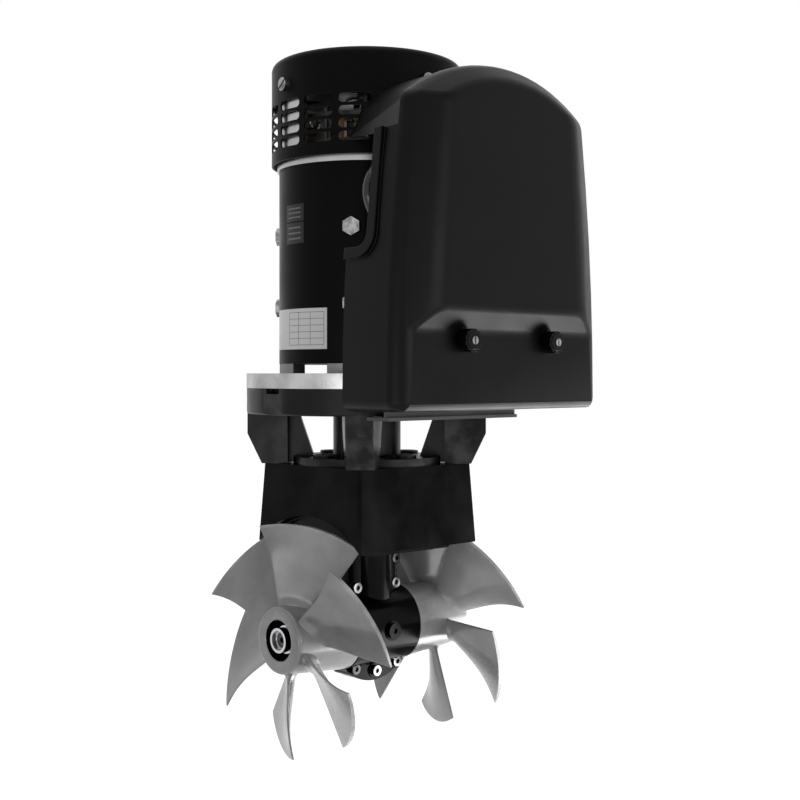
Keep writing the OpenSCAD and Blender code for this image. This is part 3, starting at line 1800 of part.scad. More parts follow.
module cover_knob(s) {
  base_y = cover_face_y - recess_depth;
  color([0.07, 0.07, 0.08])
    translate([s * knob_span / 2, -base_y, knob_z])
      rotate([90, 0, 0])
        difference() {
          union() {
            translate([0, 0, seat_gap])
              cylinder(r = knob_d / 2 - 2.6, h = 4);
            translate([0, 0, 2.4])
              cylinder(r = knob_d / 2, h = knob_l - 2.4);
            translate([0, 0, knob_l - 1])
              cylinder(r = knob_d / 2 - 2, h = 1.8);
          }
          translate([0, 0, -1])
            cylinder(r = 3.1, h = knob_l + 3);
          for (i = [0 : 11])
            rotate([0, 0, 30 * i])
              translate([knob_d / 2 + 0.9, 0, -1])
                cylinder(r = 1.6, h = knob_l + 3, $fn = 16);
        }
}

module cover_knob_left() {
  cover_knob(-1);
}

module cover_knob_right() {
  cover_knob(1);
}

saddle();
leg_gasket();
gear_leg_front();
gear_leg_back();
gear_leg_screws();
oil_plug();
prop_shaft_seals();
prop_bearing_outers();
prop_bearing_balls();
drive_bearing_outers();
drive_bearing_balls();
drive_shaft_seal();
upper_bracket();
leg_bolts();
leg_bolt_washers();
motor_plate();
plate_screws();
drive_end_shield();
motor_mount_bolts();
motor_yoke();
pole_shoes();
field_coils();
pole_bolts();
brush_end_shield();
motor_bearing_outers();
motor_bearing_balls();
brush_carrier();
brush_boxes();
brushes();
brush_springs();
brush_bus_rings();
motor_cap();
cap_screws();
motor_terminals();
control_plate();
contactor_cans();
contactor_terminals();
control_box();
fuse_holder();
motor_leads();
cover();
cover_studs();
propeller_shaft();
crown_gear();
prop_bearing_inners();
propeller_left();
propeller_right();
propeller_pins();
propeller_nuts();
motor_shaft();
armature();
commutator();
motor_bearing_inners();
coupling_hubs();
coupling_spider();
drive_shaft();
drive_bearing_inners();
drive_pinion();
cover_knob_left();
cover_knob_right();
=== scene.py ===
import math

import bmesh
import bpy
from mathutils import Matrix, Vector


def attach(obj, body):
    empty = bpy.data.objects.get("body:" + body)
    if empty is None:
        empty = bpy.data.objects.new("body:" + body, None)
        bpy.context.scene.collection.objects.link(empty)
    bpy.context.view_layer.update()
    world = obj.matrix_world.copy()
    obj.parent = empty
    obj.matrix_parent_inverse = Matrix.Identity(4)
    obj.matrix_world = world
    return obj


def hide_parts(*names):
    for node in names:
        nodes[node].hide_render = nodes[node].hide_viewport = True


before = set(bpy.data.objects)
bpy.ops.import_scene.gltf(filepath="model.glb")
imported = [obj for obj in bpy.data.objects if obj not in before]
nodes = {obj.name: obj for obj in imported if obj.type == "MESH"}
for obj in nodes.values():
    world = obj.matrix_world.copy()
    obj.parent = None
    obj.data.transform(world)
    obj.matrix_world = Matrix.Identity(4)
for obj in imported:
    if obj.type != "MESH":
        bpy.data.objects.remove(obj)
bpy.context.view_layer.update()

# Camera: a level camera beyond the left front corner of the thruster, a little below
# the top of the motor. The small shift puts the horizon where the photograph has it.
camera_data = bpy.data.cameras.new("camera")
camera_data.sensor_width = 36.0
camera_data.lens = 58.5
camera_data.shift_y = -0.0335
camera = bpy.data.objects.new("camera", camera_data)
camera.location = (-0.7112, -0.8026, 0.2077)
camera.rotation_euler = (math.radians(90), 0, math.radians(-43))
bpy.context.scene.collection.objects.link(camera)
bpy.context.scene.camera = camera
bpy.context.scene.view_settings.view_transform = "Standard"

# Studio: a white room with a pale floor well below the thruster, which the photograph
# shows hung free. Both look white to the camera and in gloss, and light the piece softly.
FLOOR_Z = -0.42
FLOOR_REACH = 6.0
FLOOR_COLOUR = (0.86, 0.86, 0.86, 1)
FLOOR_GLOW = 0.8
ROOM_LIGHT = 0.34


def seen_directly(tree):
    """Puts out 1 for camera rays and for rays in gloss or glass, and 0 for other light."""
    path = tree.nodes.new("ShaderNodeLightPath")
    gloss = tree.nodes.new("ShaderNodeMath")
    gloss.operation = "MAXIMUM"
    either = tree.nodes.new("ShaderNodeMath")
    either.operation = "MAXIMUM"
    tree.links.new(path.outputs["Is Camera Ray"], gloss.inputs[0])
    tree.links.new(path.outputs["Is Glossy Ray"], gloss.inputs[1])
    tree.links.new(gloss.outputs[0], either.inputs[0])
    tree.links.new(path.outputs["Is Transmission Ray"], either.inputs[1])
    return either.outputs[0]


room = bpy.data.worlds.new("studio_room")
room.use_nodes = True
bpy.context.scene.world = room
room_tree = room.node_tree
room_level = room_tree.nodes.new("ShaderNodeMapRange")
room_level.inputs["To Min"].default_value = ROOM_LIGHT
room_level.inputs["To Max"].default_value = 1.0
room_tree.nodes["Background"].inputs["Color"].default_value = (1, 1, 1, 1)
room_tree.links.new(seen_directly(room_tree), room_level.inputs["Value"])
room_tree.links.new(room_level.outputs["Result"], room_tree.nodes["Background"].inputs["Strength"])

floor_mesh = bpy.data.meshes.new("studio_floor")
floor_mesh.from_pydata([(-FLOOR_REACH, -FLOOR_REACH, FLOOR_Z), (FLOOR_REACH, -FLOOR_REACH, FLOOR_Z),
                        (FLOOR_REACH, FLOOR_REACH, FLOOR_Z), (-FLOOR_REACH, FLOOR_REACH, FLOOR_Z)],
                       [], [(0, 1, 2, 3)])
floor = bpy.data.objects.new("studio_floor", floor_mesh)
bpy.context.scene.collection.objects.link(floor)
floor_paint = bpy.data.materials.new("studio_floor")
floor_paint.use_nodes = True
floor_tree = floor_paint.node_tree
floor_shader = floor_tree.nodes["Principled BSDF"]
floor_shader.inputs["Base Color"].default_value = FLOOR_COLOUR
floor_shader.inputs["Roughness"].default_value = 0.9
floor_shader.inputs["Specular IOR Level"].default_value = 0.0
floor_glow = floor_tree.nodes.new("ShaderNodeEmission")
floor_level = floor_tree.nodes.new("ShaderNodeMath")
floor_level.operation = "MULTIPLY"
floor_level.inputs[1].default_value = FLOOR_GLOW
floor_both = floor_tree.nodes.new("ShaderNodeAddShader")
floor_tree.links.new(seen_directly(floor_tree), floor_level.inputs[0])
floor_tree.links.new(floor_level.outputs[0], floor_glow.inputs["Strength"])
floor_tree.links.new(floor_shader.outputs[0], floor_both.inputs[0])
floor_tree.links.new(floor_glow.outputs[0], floor_both.inputs[1])
floor_tree.links.new(floor_both.outputs[0], floor_tree.nodes["Material Output"].inputs["Surface"])
floor_mesh.materials.append(floor_paint)


def soft_lamp(name, place, aim, width, height, power):
    data = bpy.data.lights.new(name, "AREA")
    data.shape = "RECTANGLE"
    data.size = width
    data.size_y = height
    data.energy = power
    lamp = bpy.data.objects.new(name, data)
    lamp.location = place
    lamp.rotation_euler = (Vector(aim) - Vector(place)).to_track_quat("-Z", "Y").to_euler()
    bpy.context.scene.collection.objects.link(lamp)


soft_lamp("left_window", (-1.5, -0.9, -0.1), (0, 0, 0), 1.2, 0.5, 5)
soft_lamp("front_window", (0.3, -1.9, 0.3), (0, -0.05, 0.1), 0.9, 0.8, 7)
soft_lamp("top_panel", (-0.2, -0.2, 1.7), (0, 0, 0.2), 1.2, 1.2, 6)
soft_lamp("low_panel", (0.45, -0.2, -0.40), (0.1, -0.05, 0.1), 0.8, 0.9, 17)

# Saddle: the block that lies on the tunnel and takes the clamping bolts. It is moulded in
# black glass filled plastic, so it has soft edges, flow marks and dull smudges.
FLOAT = "NodeSocketFloat"
COLOUR = "NodeSocketColor"
VECTOR = "NodeSocketVector"


def effect_group(name, inputs, outputs):
    group = bpy.data.node_groups.new(name, "ShaderNodeTree")
    for label, kind, value in inputs:
        sock = group.interface.new_socket(label, in_out="INPUT", socket_type=kind)
        sock.default_value = value
    for label, kind in outputs:
        group.interface.new_socket(label, in_out="OUTPUT", socket_type=kind)
    return group, group.nodes.new("NodeGroupInput"), group.nodes.new("NodeGroupOutput")


# Grain: a fine height, and a roughness that wanders over larger patches
grain, grain_in, grain_out = effect_group(
    "grain",
    [("Place", VECTOR, (0, 0, 0)), ("Grain Scale", FLOAT, 1500.0), ("Patch Scale", FLOAT, 30.0),
     ("Roughness", FLOAT, 0.5), ("Spread", FLOAT, 0.1)],
    [("Roughness", FLOAT), ("Height", FLOAT)])
fine = grain.nodes.new("ShaderNodeTexNoise")
fine.inputs["Detail"].default_value = 2.0
patch = grain.nodes.new("ShaderNodeTexNoise")
patch.inputs["Detail"].default_value = 4.0
wander = grain.nodes.new("ShaderNodeMapRange")
wander.inputs["From Min"].default_value = 0.3
wander.inputs["From Max"].default_value = 0.7
lowest = grain.nodes.new("ShaderNodeMath")
lowest.operation = "SUBTRACT"
highest = grain.nodes.new("ShaderNodeMath")
highest.operation = "ADD"
for source, target in ((grain_in.outputs["Place"], fine.inputs["Vector"]),
                       (grain_in.outputs["Place"], patch.inputs["Vector"]),
                       (grain_in.outputs["Grain Scale"], fine.inputs["Scale"]),
                       (grain_in.outputs["Patch Scale"], patch.inputs["Scale"]),
                       (grain_in.outputs["Roughness"], lowest.inputs[0]),
                       (grain_in.outputs["Spread"], lowest.inputs[1]),
                       (grain_in.outputs["Roughness"], highest.inputs[0]),
                       (grain_in.outputs["Spread"], highest.inputs[1]),
                       (patch.outputs["Fac"], wander.inputs["Value"]),
                       (lowest.outputs[0], wander.inputs["To Min"]),
                       (highest.outputs[0], wander.inputs["To Max"]),
                       (wander.outputs["Result"], grain_out.inputs["Roughness"]),
                       (fine.outputs["Fac"], grain_out.inputs["Height"])):
    grain.links.new(source, target)

# Smudges: a second tone laid over the first in soft broken patches
smudges, smudge_in, smudge_out = effect_group(
    "smudges",
    [("Place", VECTOR, (0, 0, 0)), ("Base", COLOUR, (0.05, 0.05, 0.05, 1)), ("Mark", COLOUR, (0.1, 0.1, 0.1, 1)),
     ("Scale", FLOAT, 12.0), ("Amount", FLOAT, 0.3)],
    [("Color", COLOUR)])
cloud = smudges.nodes.new("ShaderNodeTexNoise")
cloud.inputs["Detail"].default_value = 4.0
cloud.inputs["Roughness"].default_value = 0.55
cloud_edge = smudges.nodes.new("ShaderNodeMapRange")
cloud_edge.inputs["From Min"].default_value = 0.38
cloud_edge.inputs["From Max"].default_value = 0.82
cover_share = smudges.nodes.new("ShaderNodeMath")
cover_share.operation = "MULTIPLY"
two_tones = smudges.nodes.new("ShaderNodeMix")
two_tones.data_type = "RGBA"
for source, target in ((smudge_in.outputs["Place"], cloud.inputs["Vector"]),
                       (smudge_in.outputs["Scale"], cloud.inputs["Scale"]),
                       (cloud.outputs["Fac"], cloud_edge.inputs["Value"]),
                       (cloud_edge.outputs["Result"], cover_share.inputs[0]),
                       (smudge_in.outputs["Amount"], cover_share.inputs[1]),
                       (cover_share.outputs[0], two_tones.inputs["Factor"]),
                       (smudge_in.outputs["Base"], two_tones.inputs["A"]),
                       (smudge_in.outputs["Mark"], two_tones.inputs["B"]),
                       (two_tones.outputs["Result"], smudge_out.inputs["Color"])):
    smudges.links.new(source, target)

# Worn and lit edges: a mask of the sharp edges, broken up by noise, both for paint rubbed thin and for painted
# highlights along edges
wear_and_highlight_edges, wear_highlight_in, wear_highlight_out = effect_group(
    "wear_and_highlight_edges",
    [("Place", VECTOR, (0, 0, 0)), ("Pointiness", FLOAT, 0.5), ("Scale", FLOAT, 60.0), ("Amount", FLOAT, 0.5),
     ("Color", COLOUR, (0.01, 0.01, 0.01, 1)), ("Wear And Highlight", COLOUR, (0.2, 0.2, 0.2, 1))],
    [("Color", COLOUR)])
edge_mask = wear_and_highlight_edges.nodes.new("ShaderNodeMapRange")
edge_mask.inputs["From Min"].default_value = 0.52
edge_mask.inputs["From Max"].default_value = 0.62
broken = wear_and_highlight_edges.nodes.new("ShaderNodeTexNoise")
broken.inputs["Detail"].default_value = 5.0
broken_edge = wear_and_highlight_edges.nodes.new("ShaderNodeMapRange")
broken_edge.inputs["From Min"].default_value = 0.4
broken_edge.inputs["From Max"].default_value = 0.65
edge_share = wear_and_highlight_edges.nodes.new("ShaderNodeMath")
edge_share.operation = "MULTIPLY"
wear_highlight_share = wear_and_highlight_edges.nodes.new("ShaderNodeMath")
wear_highlight_share.operation = "MULTIPLY"
wear_highlight_tones = wear_and_highlight_edges.nodes.new("ShaderNodeMix")
wear_highlight_tones.data_type = "RGBA"
for source, target in ((wear_highlight_in.outputs["Pointiness"], edge_mask.inputs["Value"]),
                       (wear_highlight_in.outputs["Place"], broken.inputs["Vector"]),
                       (wear_highlight_in.outputs["Scale"], broken.inputs["Scale"]),
                       (broken.outputs["Fac"], broken_edge.inputs["Value"]),
                       (edge_mask.outputs["Result"], edge_share.inputs[0]),
                       (broken_edge.outputs["Result"], edge_share.inputs[1]),
                       (edge_share.outputs[0], wear_highlight_share.inputs[0]),
                       (wear_highlight_in.outputs["Amount"], wear_highlight_share.inputs[1]),
                       (wear_highlight_share.outputs[0], wear_highlight_tones.inputs["Factor"]),
                       (wear_highlight_in.outputs["Color"], wear_highlight_tones.inputs["A"]),
                       (wear_highlight_in.outputs["Wear And Highlight"], wear_highlight_tones.inputs["B"]),
                       (wear_highlight_tones.outputs["Result"], wear_highlight_out.inputs["Color"])):
    wear_and_highlight_edges.links.new(source, target)


def finish(name, base, mark, rough, spread=0.08, amount=0.3, metal=0.0, grain_scale=1500.0, mark_scale=12.0,
           bump=0.1, depth=0.00005, stretch=(1, 1, 1), gloss=0.5, wear_and_highlight=None):
    """A surface in the tone base, smudged with the tone mark, over a fine grain.

    stretch draws the grain out, and the edge tone lies on sharp edges, both for paint rubbed thin and for a
    painted highlight.
    """
    mat = bpy.data.materials.new(name)
    mat.use_nodes = True
    tree = mat.node_tree
    shader = tree.nodes["Principled BSDF"]
    shader.inputs["Metallic"].default_value = metal
    shader.inputs["Specular IOR Level"].default_value = gloss
    place = tree.nodes.new("ShaderNodeTexCoord")
    mapping = tree.nodes.new("ShaderNodeMapping")
    mapping.inputs["Scale"].default_value = stretch
    tree.links.new(place.outputs["Object"], mapping.inputs["Vector"])
    g = tree.nodes.new("ShaderNodeGroup")
    g.node_tree = grain
    g.inputs["Grain Scale"].default_value = grain_scale
    g.inputs["Roughness"].default_value = rough
    g.inputs["Spread"].default_value = spread
    s = tree.nodes.new("ShaderNodeGroup")
    s.node_tree = smudges
    s.inputs["Base"].default_value = (*base, 1)
    s.inputs["Mark"].default_value = (*mark, 1)
    s.inputs["Scale"].default_value = mark_scale
    s.inputs["Amount"].default_value = amount
    b = tree.nodes.new("ShaderNodeBump")
    b.inputs["Strength"].default_value = bump
    b.inputs["Distance"].default_value = depth
    tree.links.new(mapping.outputs["Vector"], g.inputs["Place"])
    tree.links.new(place.outputs["Object"], s.inputs["Place"])
    tree.links.new(g.outputs["Roughness"], shader.inputs["Roughness"])
    tree.links.new(g.outputs["Height"], b.inputs["Height"])
    tree.links.new(b.outputs["Normal"], shader.inputs["Normal"])
    colour = s.outputs["Color"]
    if wear_and_highlight:
        w = tree.nodes.new("ShaderNodeGroup")
        w.node_tree = wear_and_highlight_edges
        w.inputs["Wear And Highlight"].default_value = (*wear_and_highlight, 1)
        geometry = tree.nodes.new("ShaderNodeNewGeometry")
        tree.links.new(geometry.outputs["Pointiness"], w.inputs["Pointiness"])
        tree.links.new(place.outputs["Object"], w.inputs["Place"])
        tree.links.new(colour, w.inputs["Color"])
        colour = w.outputs["Color"]
    tree.links.new(colour, shader.inputs["Base Color"])
    return mat


def finish_node(names, mat):
    """Gives CAD nodes their finish."""
    for name in names:
        nodes[name].data.materials.clear()
        nodes[name].data.materials.append(mat)


# The weld is in metres. The angles are in degrees: the most that still counts as flat, the least
# that a soft stretch and a plain rounding take up, and the least that shows as a crease.
WELD = 0.00002
FLAT_ANGLE = 0.6
SOFT_ANGLE = 24
ROUND_ANGLE = 28
CREASE_ANGLE = 60


def worked_copy(node, name, body, mat, width, segments=3, soft=()):
    """A copy of a CAD node with its edges rounded off as on the real piece. It stands for the node.

    soft lists rounder stretches, each a test of an edge's middle, the width of its rounding, and
    whether that width is kept where short edges meet it.
    """
    mesh = nodes[node].data.copy()
    mesh.name = name
    bm = bmesh.new()
    bm.from_mesh(mesh)
    bmesh.ops.remove_doubles(bm, verts=bm.verts, dist=WELD)
    bmesh.ops.dissolve_degenerate(bm, edges=bm.edges, dist=WELD)
    bmesh.ops.dissolve_limit(bm, angle_limit=math.radians(FLAT_ANGLE), verts=bm.verts, edges=bm.edges)
    for test, round_width, kept in soft:
        edges = [e for e in bm.edges if len(e.link_faces) == 2
                 and abs(e.calc_face_angle_signed()) > math.radians(SOFT_ANGLE)
                 and test((e.verts[0].co + e.verts[1].co) / 2)]
        bmesh.ops.bevel(bm, geom=edges, offset=round_width, offset_type="OFFSET", segments=4, profile=0.5,
                        affect="EDGES", clamp_overlap=not kept)
    for f in bm.faces:
        f.smooth = True
    bm.to_mesh(mesh)
    bm.free()
    mesh.materials.clear()
    mesh.materials.append(mat)
    mesh.set_sharp_from_angle(angle=math.radians(CREASE_ANGLE))
    o = bpy.data.objects.new(name, mesh)
    bpy.context.scene.collection.objects.link(o)
    bevel = o.modifiers.new("rounding", "BEVEL")
    bevel.width = width
    bevel.segments = segments
    bevel.limit_method = "ANGLE"
    bevel.angle_limit = math.radians(ROUND_ANGLE)
    bevel.use_clamp_overlap = True
    even = o.modifiers.new("even_shading", "WEIGHTED_NORMAL")
    even.mode = "FACE_AREA"
    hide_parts(node)
    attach(o, body)


saddle_plastic = finish("saddle_plastic", (0.0005, 0.0005, 0.0005), (0.014, 0.014, 0.0142), 0.38, spread=0.16,
                        amount=0.9, mark_scale=26, grain_scale=900, bump=0.25, depth=0.00012, gloss=0.03)
worked_copy("saddle", "saddle_block", "frame", saddle_plastic, 0.0016, 3)

# Gasket and seals: cut and moulded rubber, dull black. The gasket is squeezed between the
# tunnel and the saddle, and the lip seals are pressed into the leg.
seal_rubber = finish("seal_rubber", (0.012, 0.012, 0.012), (0.03, 0.03, 0.03), 0.7, grain_scale=1200, gloss=0.2)
finish_node(["leg_gasket", "prop_shaft_seals", "drive_shaft_seal"], seal_rubber)

# Gear leg: two cast halves in thick glossy black epoxy paint, split on the plane of both
# shafts and drawn together by socket screws. The drain plug at its side is painted over.
leg_paint = finish("leg_paint", (0.001, 0.001, 0.001), (0.006, 0.006, 0.0062), 0.2, spread=0.08, amount=0.3,
                   mark_scale=40, grain_scale=500, bump=0.2, depth=0.00012, gloss=0.07)
worked_copy("gear_leg_front", "leg_half_front", "frame", leg_paint, 0.0009, 2)
worked_copy("gear_leg_back", "leg_half_back", "frame", leg_paint, 0.0009, 2)
finish_node(["oil_plug"], leg_paint)

# Screws, bolts and cover studs: stainless and zinc plated steel with fine turning marks,
# driven through the pieces they hold. Those of the gear leg are dark, with a painted highlight on their edges.
# The near black patches over the bright steel are painted reflections of dark surroundings.
bright_steel = finish("bright_steel", (0.38, 0.38, 0.384), (0.01, 0.01, 0.01), 0.18, spread=0.07, amount=1.0,
                      metal=1.0, grain_scale=2600, bump=0.15, depth=0.00003, mark_scale=190)
finish_node(["plate_screws", "motor_mount_bolts", "cap_screws", "pole_bolts", "cover_studs"], bright_steel)
dark_steel_edge_highlight = finish("dark_steel_edge_highlight", (0.035, 0.035, 0.036), (0.1, 0.1, 0.1), 0.2, spread=0.07, amount=0.5,
                      metal=1.0, grain_scale=2600, mark_scale=90, wear_and_highlight=(0.75, 0.75, 0.76))
finish_node(["gear_leg_screws"], dark_steel_edge_highlight)

# Leg bolts: black oxide socket bolts and washers, sunk in the bosses of the bracket's base.
# The oil left in the finish gives them a dark gloss.
black_oxide = finish("black_oxide", (0.01, 0.01, 0.0105), (0.04, 0.04, 0.04), 0.24, amount=0.4, metal=0.5,
                     grain_scale=1800, mark_scale=60)
finish_node(["leg_bolts", "leg_bolt_washers"], black_oxide)

# Drive shaft, pinion, leg bearings and propeller nuts: hardened steel, ground bright. The
# bearings are pressed on the shafts, and the pinion is cut on the end of the drive shaft.
ground_steel = finish("ground_steel", (0.5, 0.5, 0.51), (0.3, 0.3, 0.31), 0.14, spread=0.04, amount=0.3,
                      metal=1.0, grain_scale=3000, bump=0.08, depth=0.00002, mark_scale=80)
finish_node(["prop_bearing_outers", "prop_bearing_balls", "prop_bearing_inners", "drive_bearing_outers",
             "drive_bearing_balls", "drive_bearing_inners", "drive_shaft", "drive_pinion",
             "propeller_nuts"], ground_steel)

# Propeller shaft, its pins, and the motor's shaft and bearings: the same steel, painted dark
# as painted shade, since it shows only deep in the nut's bore and recess and inside the motor. The propeller shaft
# runs through the leg.
shade_dark_steel = finish("shade_dark_steel", (0.07, 0.07, 0.072), (0.03, 0.03, 0.031), 0.25, metal=1.0, grain_scale=2600)
finish_node(["propeller_shaft", "propeller_pins", "motor_shaft", "motor_bearing_outers", "motor_bearing_balls",
             "motor_bearing_inners"], shade_dark_steel)

# Crown gear: bronze, cut to run with the steel pinion in oil. It is keyed on the
# propeller shaft in the middle of the leg.
gear_bronze = finish("gear_bronze", (0.5, 0.36, 0.16), (0.35, 0.24, 0.1), 0.3, metal=1.0, grain_scale=2400)
finish_node(["crown_gear"], gear_bronze)

# Propellers: six swept blades moulded in one piece with the hub, in grey glass filled
# plastic with a satin sheen. Both are of one hand, and a nut holds each on the shaft.
BLADES = 6
ROOT_R = 0.0235
TIP_R = 0.090
# The blade's own sizes. Pairs are at the root and at the tip, and turns are in degrees.
OUTER_EDGE_X = (0.0865, 0.094)
INNER_EDGE_X = (0.066, 0.055)
WRAP = 51.0
EDGE_BOW = 4.0
EDGE_T = 0.0013
MIDDLE_T = (0.0055, 0.002)
FULLNESS = 0.7
FILLET_R = 0.0275
FILLET_REACH = 0.0055
FILLET_T = 0.006
FILLET_EDGE_SHARE = 0.35
CAMBER = 0.003
CAMBER_START = 0.15
CAMBER_SPAN = 0.75
# The hub's own sizes, with the recess for the nut and the bore for the shaft.
HUB_IN_X = 0.0318
HUB_END_X = 0.0926
HUB_ROOT_R = 0.031
HUB_END_R = 0.0265
HUB_NOSE_R = 0.003
HUB_CHAMFER = 0.0006
RECESS_CHAMFER = 0.0008
RECESS_R = 0.016
RECESS_H = 0.009
BORE_R = 0.00805
SPAN_STEPS = 26
CHORD_STEPS = 30
HUB_STEPS = 96
BODY_STEPS = 8
NOSE_STEPS = 8
BLADE_CREASE = 38


def lerp(a, b, t):
    return a + (b - a) * t


def hub_radius(x):
    return lerp(HUB_ROOT_R, HUB_END_R, (x - HUB_IN_X) / (HUB_END_X - HUB_IN_X))


def blade_point(t, s, side):
    """t runs from root to tip, s from the outer edge to the inner edge, side is 1 or -1."""
    r = lerp(ROOT_R, TIP_R, t)
    x_out = -lerp(*OUTER_EDGE_X, t)
    x_in = -lerp(*INNER_EDGE_X, t)
    lead = EDGE_BOW * math.sin(math.pi * t)
    turn = lead + s * (WRAP - lead)
    arc = r * math.radians(WRAP - lead)
    length = math.hypot(x_in - x_out, arc)
    bow = 4 * s * (1 - s)
    thick = EDGE_T + lerp(*MIDDLE_T, t) * bow ** FULLNESS
    root = max(0.0, 1 - (r - FILLET_R) / FILLET_REACH)
    thick += FILLET_T * root * root * lerp(FILLET_EDGE_SHARE, 1, bow)
    camber = CAMBER * bow * math.sin(math.pi * (CAMBER_START + t * CAMBER_SPAN))
    off = side * thick / 2 + camber
    x = x_out + s * (x_in - x_out) + off * arc / length
    a = math.radians(turn) - off * (x_in - x_out) / length / r
    return Vector((x, r * math.cos(a), r * math.sin(a)))


def add_blade(bm, turn):
    rows = []
    for j in range(SPAN_STEPS + 1):
        t = j / SPAN_STEPS
        shares = [(1 - math.cos(math.pi * i / CHORD_STEPS)) / 2 for i in range(CHORD_STEPS + 1)]
        ring = [blade_point(t, s, 1) for s in shares] + [blade_point(t, s, -1) for s in reversed(shares)]
        rows.append([bm.verts.new(turn @ p) for p in ring])
    n = len(rows[0])
    for low, high in zip(rows, rows[1:]):
        for i in range(n):
            bm.faces.new((low[i], low[(i + 1) % n], high[(i + 1) % n], high[i]))
    root, tip = rows[0], rows[-1]
    for i in range(CHORD_STEPS):
        bm.faces.new((tip[i], tip[i + 1], tip[n - 2 - i], tip[n - 1 - i]))
        bm.faces.new((root[n - 1 - i], root[n - 2 - i], root[i + 1], root[i]))


def add_hub(bm):
    """A turned profile with a rounded nose, the recess of the nut and the bore of the shaft."""
    profile = [(BORE_R, HUB_IN_X), (HUB_ROOT_R - HUB_CHAMFER, HUB_IN_X), (HUB_ROOT_R, HUB_IN_X + HUB_CHAMFER)]
    for i in range(1, BODY_STEPS):
        x = lerp(HUB_IN_X, HUB_END_X - HUB_NOSE_R, i / BODY_STEPS)
        profile.append((hub_radius(x), x))
    for i in range(NOSE_STEPS + 1):
        a = math.pi / 2 * i / NOSE_STEPS
        profile.append((HUB_END_R - HUB_NOSE_R * (1 - math.cos(a)), HUB_END_X - HUB_NOSE_R * (1 - math.sin(a))))
    profile += [(RECESS_R + RECESS_CHAMFER, HUB_END_X), (RECESS_R, HUB_END_X - RECESS_CHAMFER),
                (RECESS_R, HUB_END_X - RECESS_H), (BORE_R, HUB_END_X - RECESS_H)]
    rings = []
    for i in range(HUB_STEPS):
        a = 2 * math.pi * i / HUB_STEPS
        rings.append([bm.verts.new((-x, r * math.cos(a), r * math.sin(a))) for r, x in profile])
    for i in range(HUB_STEPS):
        a, b = rings[i], rings[(i + 1) % HUB_STEPS]
        for k in range(len(profile)):
            m = (k + 1) % len(profile)
            face = bm.faces.new((a[k], a[m], b[m], b[k]))
            # The wall and floor of the recess and the bore take the leg's black paint, as painted shade deep in
            # the recess
            face.material_index = 1 if k >= len(profile) - 3 else 0


def build_propeller(name, phase, flip, node):
    bm = bmesh.new()
    for k in range(BLADES):
        add_blade(bm, Matrix.Rotation(math.radians(phase + 360 * k / BLADES), 4, "X"))
    add_hub(bm)
    bmesh.ops.recalc_face_normals(bm, faces=bm.faces)
    for f in bm.faces:
        f.smooth = True
    if flip:
        bmesh.ops.rotate(bm, verts=bm.verts, cent=(0, 0, 0), matrix=Matrix.Rotation(math.pi, 3, "Z"))
    mesh = bpy.data.meshes.new(name)
    bm.to_mesh(mesh)
    bm.free()
    mesh.materials.append(blade_plastic)
    # The second material, the leg's black paint, is painted shade in the hub's recess and bore.
    mesh.materials.append(leg_paint)
    mesh.set_sharp_from_angle(angle=math.radians(BLADE_CREASE))
    o = bpy.data.objects.new(name, mesh)
    bpy.context.scene.collection.objects.link(o)
    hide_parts(node)
    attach(o, "props")


# The paler tone along the blade edges is a painted highlight.
blade_plastic = finish("blade_plastic", (0.165, 0.165, 0.167), (0.4, 0.4, 0.405), 0.21, spread=0.08,
                       amount=0.9, mark_scale=14, grain_scale=1200, bump=0.2, depth=0.00008, gloss=0.6,
                       wear_and_highlight=(0.6, 0.6, 0.605))
build_propeller("propeller_left_moulding", 16.3, False, "propeller_left")
build_propeller("propeller_right_moulding", 129.2, True, "propeller_right")

# Upper bracket: one casting with a base, a column and four legs up to the rim, in satin
# black paint. It stands on the saddle and carries the motor plate.
bracket_paint = finish("bracket_paint", (0.002, 0.002, 0.0021), (0.012, 0.012, 0.0123), 0.34, spread=0.1,
                       amount=0.6, mark_scale=30, grain_scale=650, bump=0.3, depth=0.00015, gloss=0.14,
                       wear_and_highlight=(0.08, 0.08, 0.082))
worked_copy("upper_bracket", "bracket_casting", "frame", bracket_paint, 0.0016, 3)

# Coupling: two steel hubs with jaws and a rubber spider between them. One hub is on the
# motor shaft and one on the drive shaft, inside the column of the bracket.
hub_enamel = finish("hub_enamel", (0.03, 0.03, 0.032), (0.08, 0.08, 0.08), 0.35, grain_scale=500)
finish_node(["coupling_hubs"], hub_enamel)
spider_rubber = finish("spider_rubber", (0.35, 0.05, 0.03), (0.2, 0.03, 0.02), 0.5, grain_scale=700)
finish_node(["coupling_spider"], spider_rubber)

# Motor plate and end shields: bare aluminium. The plate is turned and milled, with fine
# cutter marks along its rim, and carries the motor. The drive end shield is as cast, and
# the brush end shield has a turned rim and posts; inside them it is painted near black as
# painted shade under the cap.
machined = finish("machined_aluminium", (0.47, 0.47, 0.474), (0.15, 0.15, 0.152), 0.32, spread=0.08, amount=0.8,
                  metal=1.0, grain_scale=500, bump=0.35, depth=0.00008, stretch=(1, 1, 0.06), mark_scale=45)
worked_copy("motor_plate", "motor_plate_disc", "frame", machined, 0.0007, 2)
cast_aluminium = finish("cast_aluminium", (0.16, 0.16, 0.163), (0.26, 0.26, 0.263), 0.45, amount=0.5, metal=1.0,
                        grain_scale=420, bump=0.4, depth=0.00015, mark_scale=45)
finish_node(["drive_end_shield"], cast_aluminium)
turned_rim = finish("turned_rim", (0.42, 0.42, 0.424), (0.26, 0.26, 0.263), 0.3, amount=0.6, metal=1.0,
                    grain_scale=500, bump=0.3, depth=0.00008, mark_scale=45)
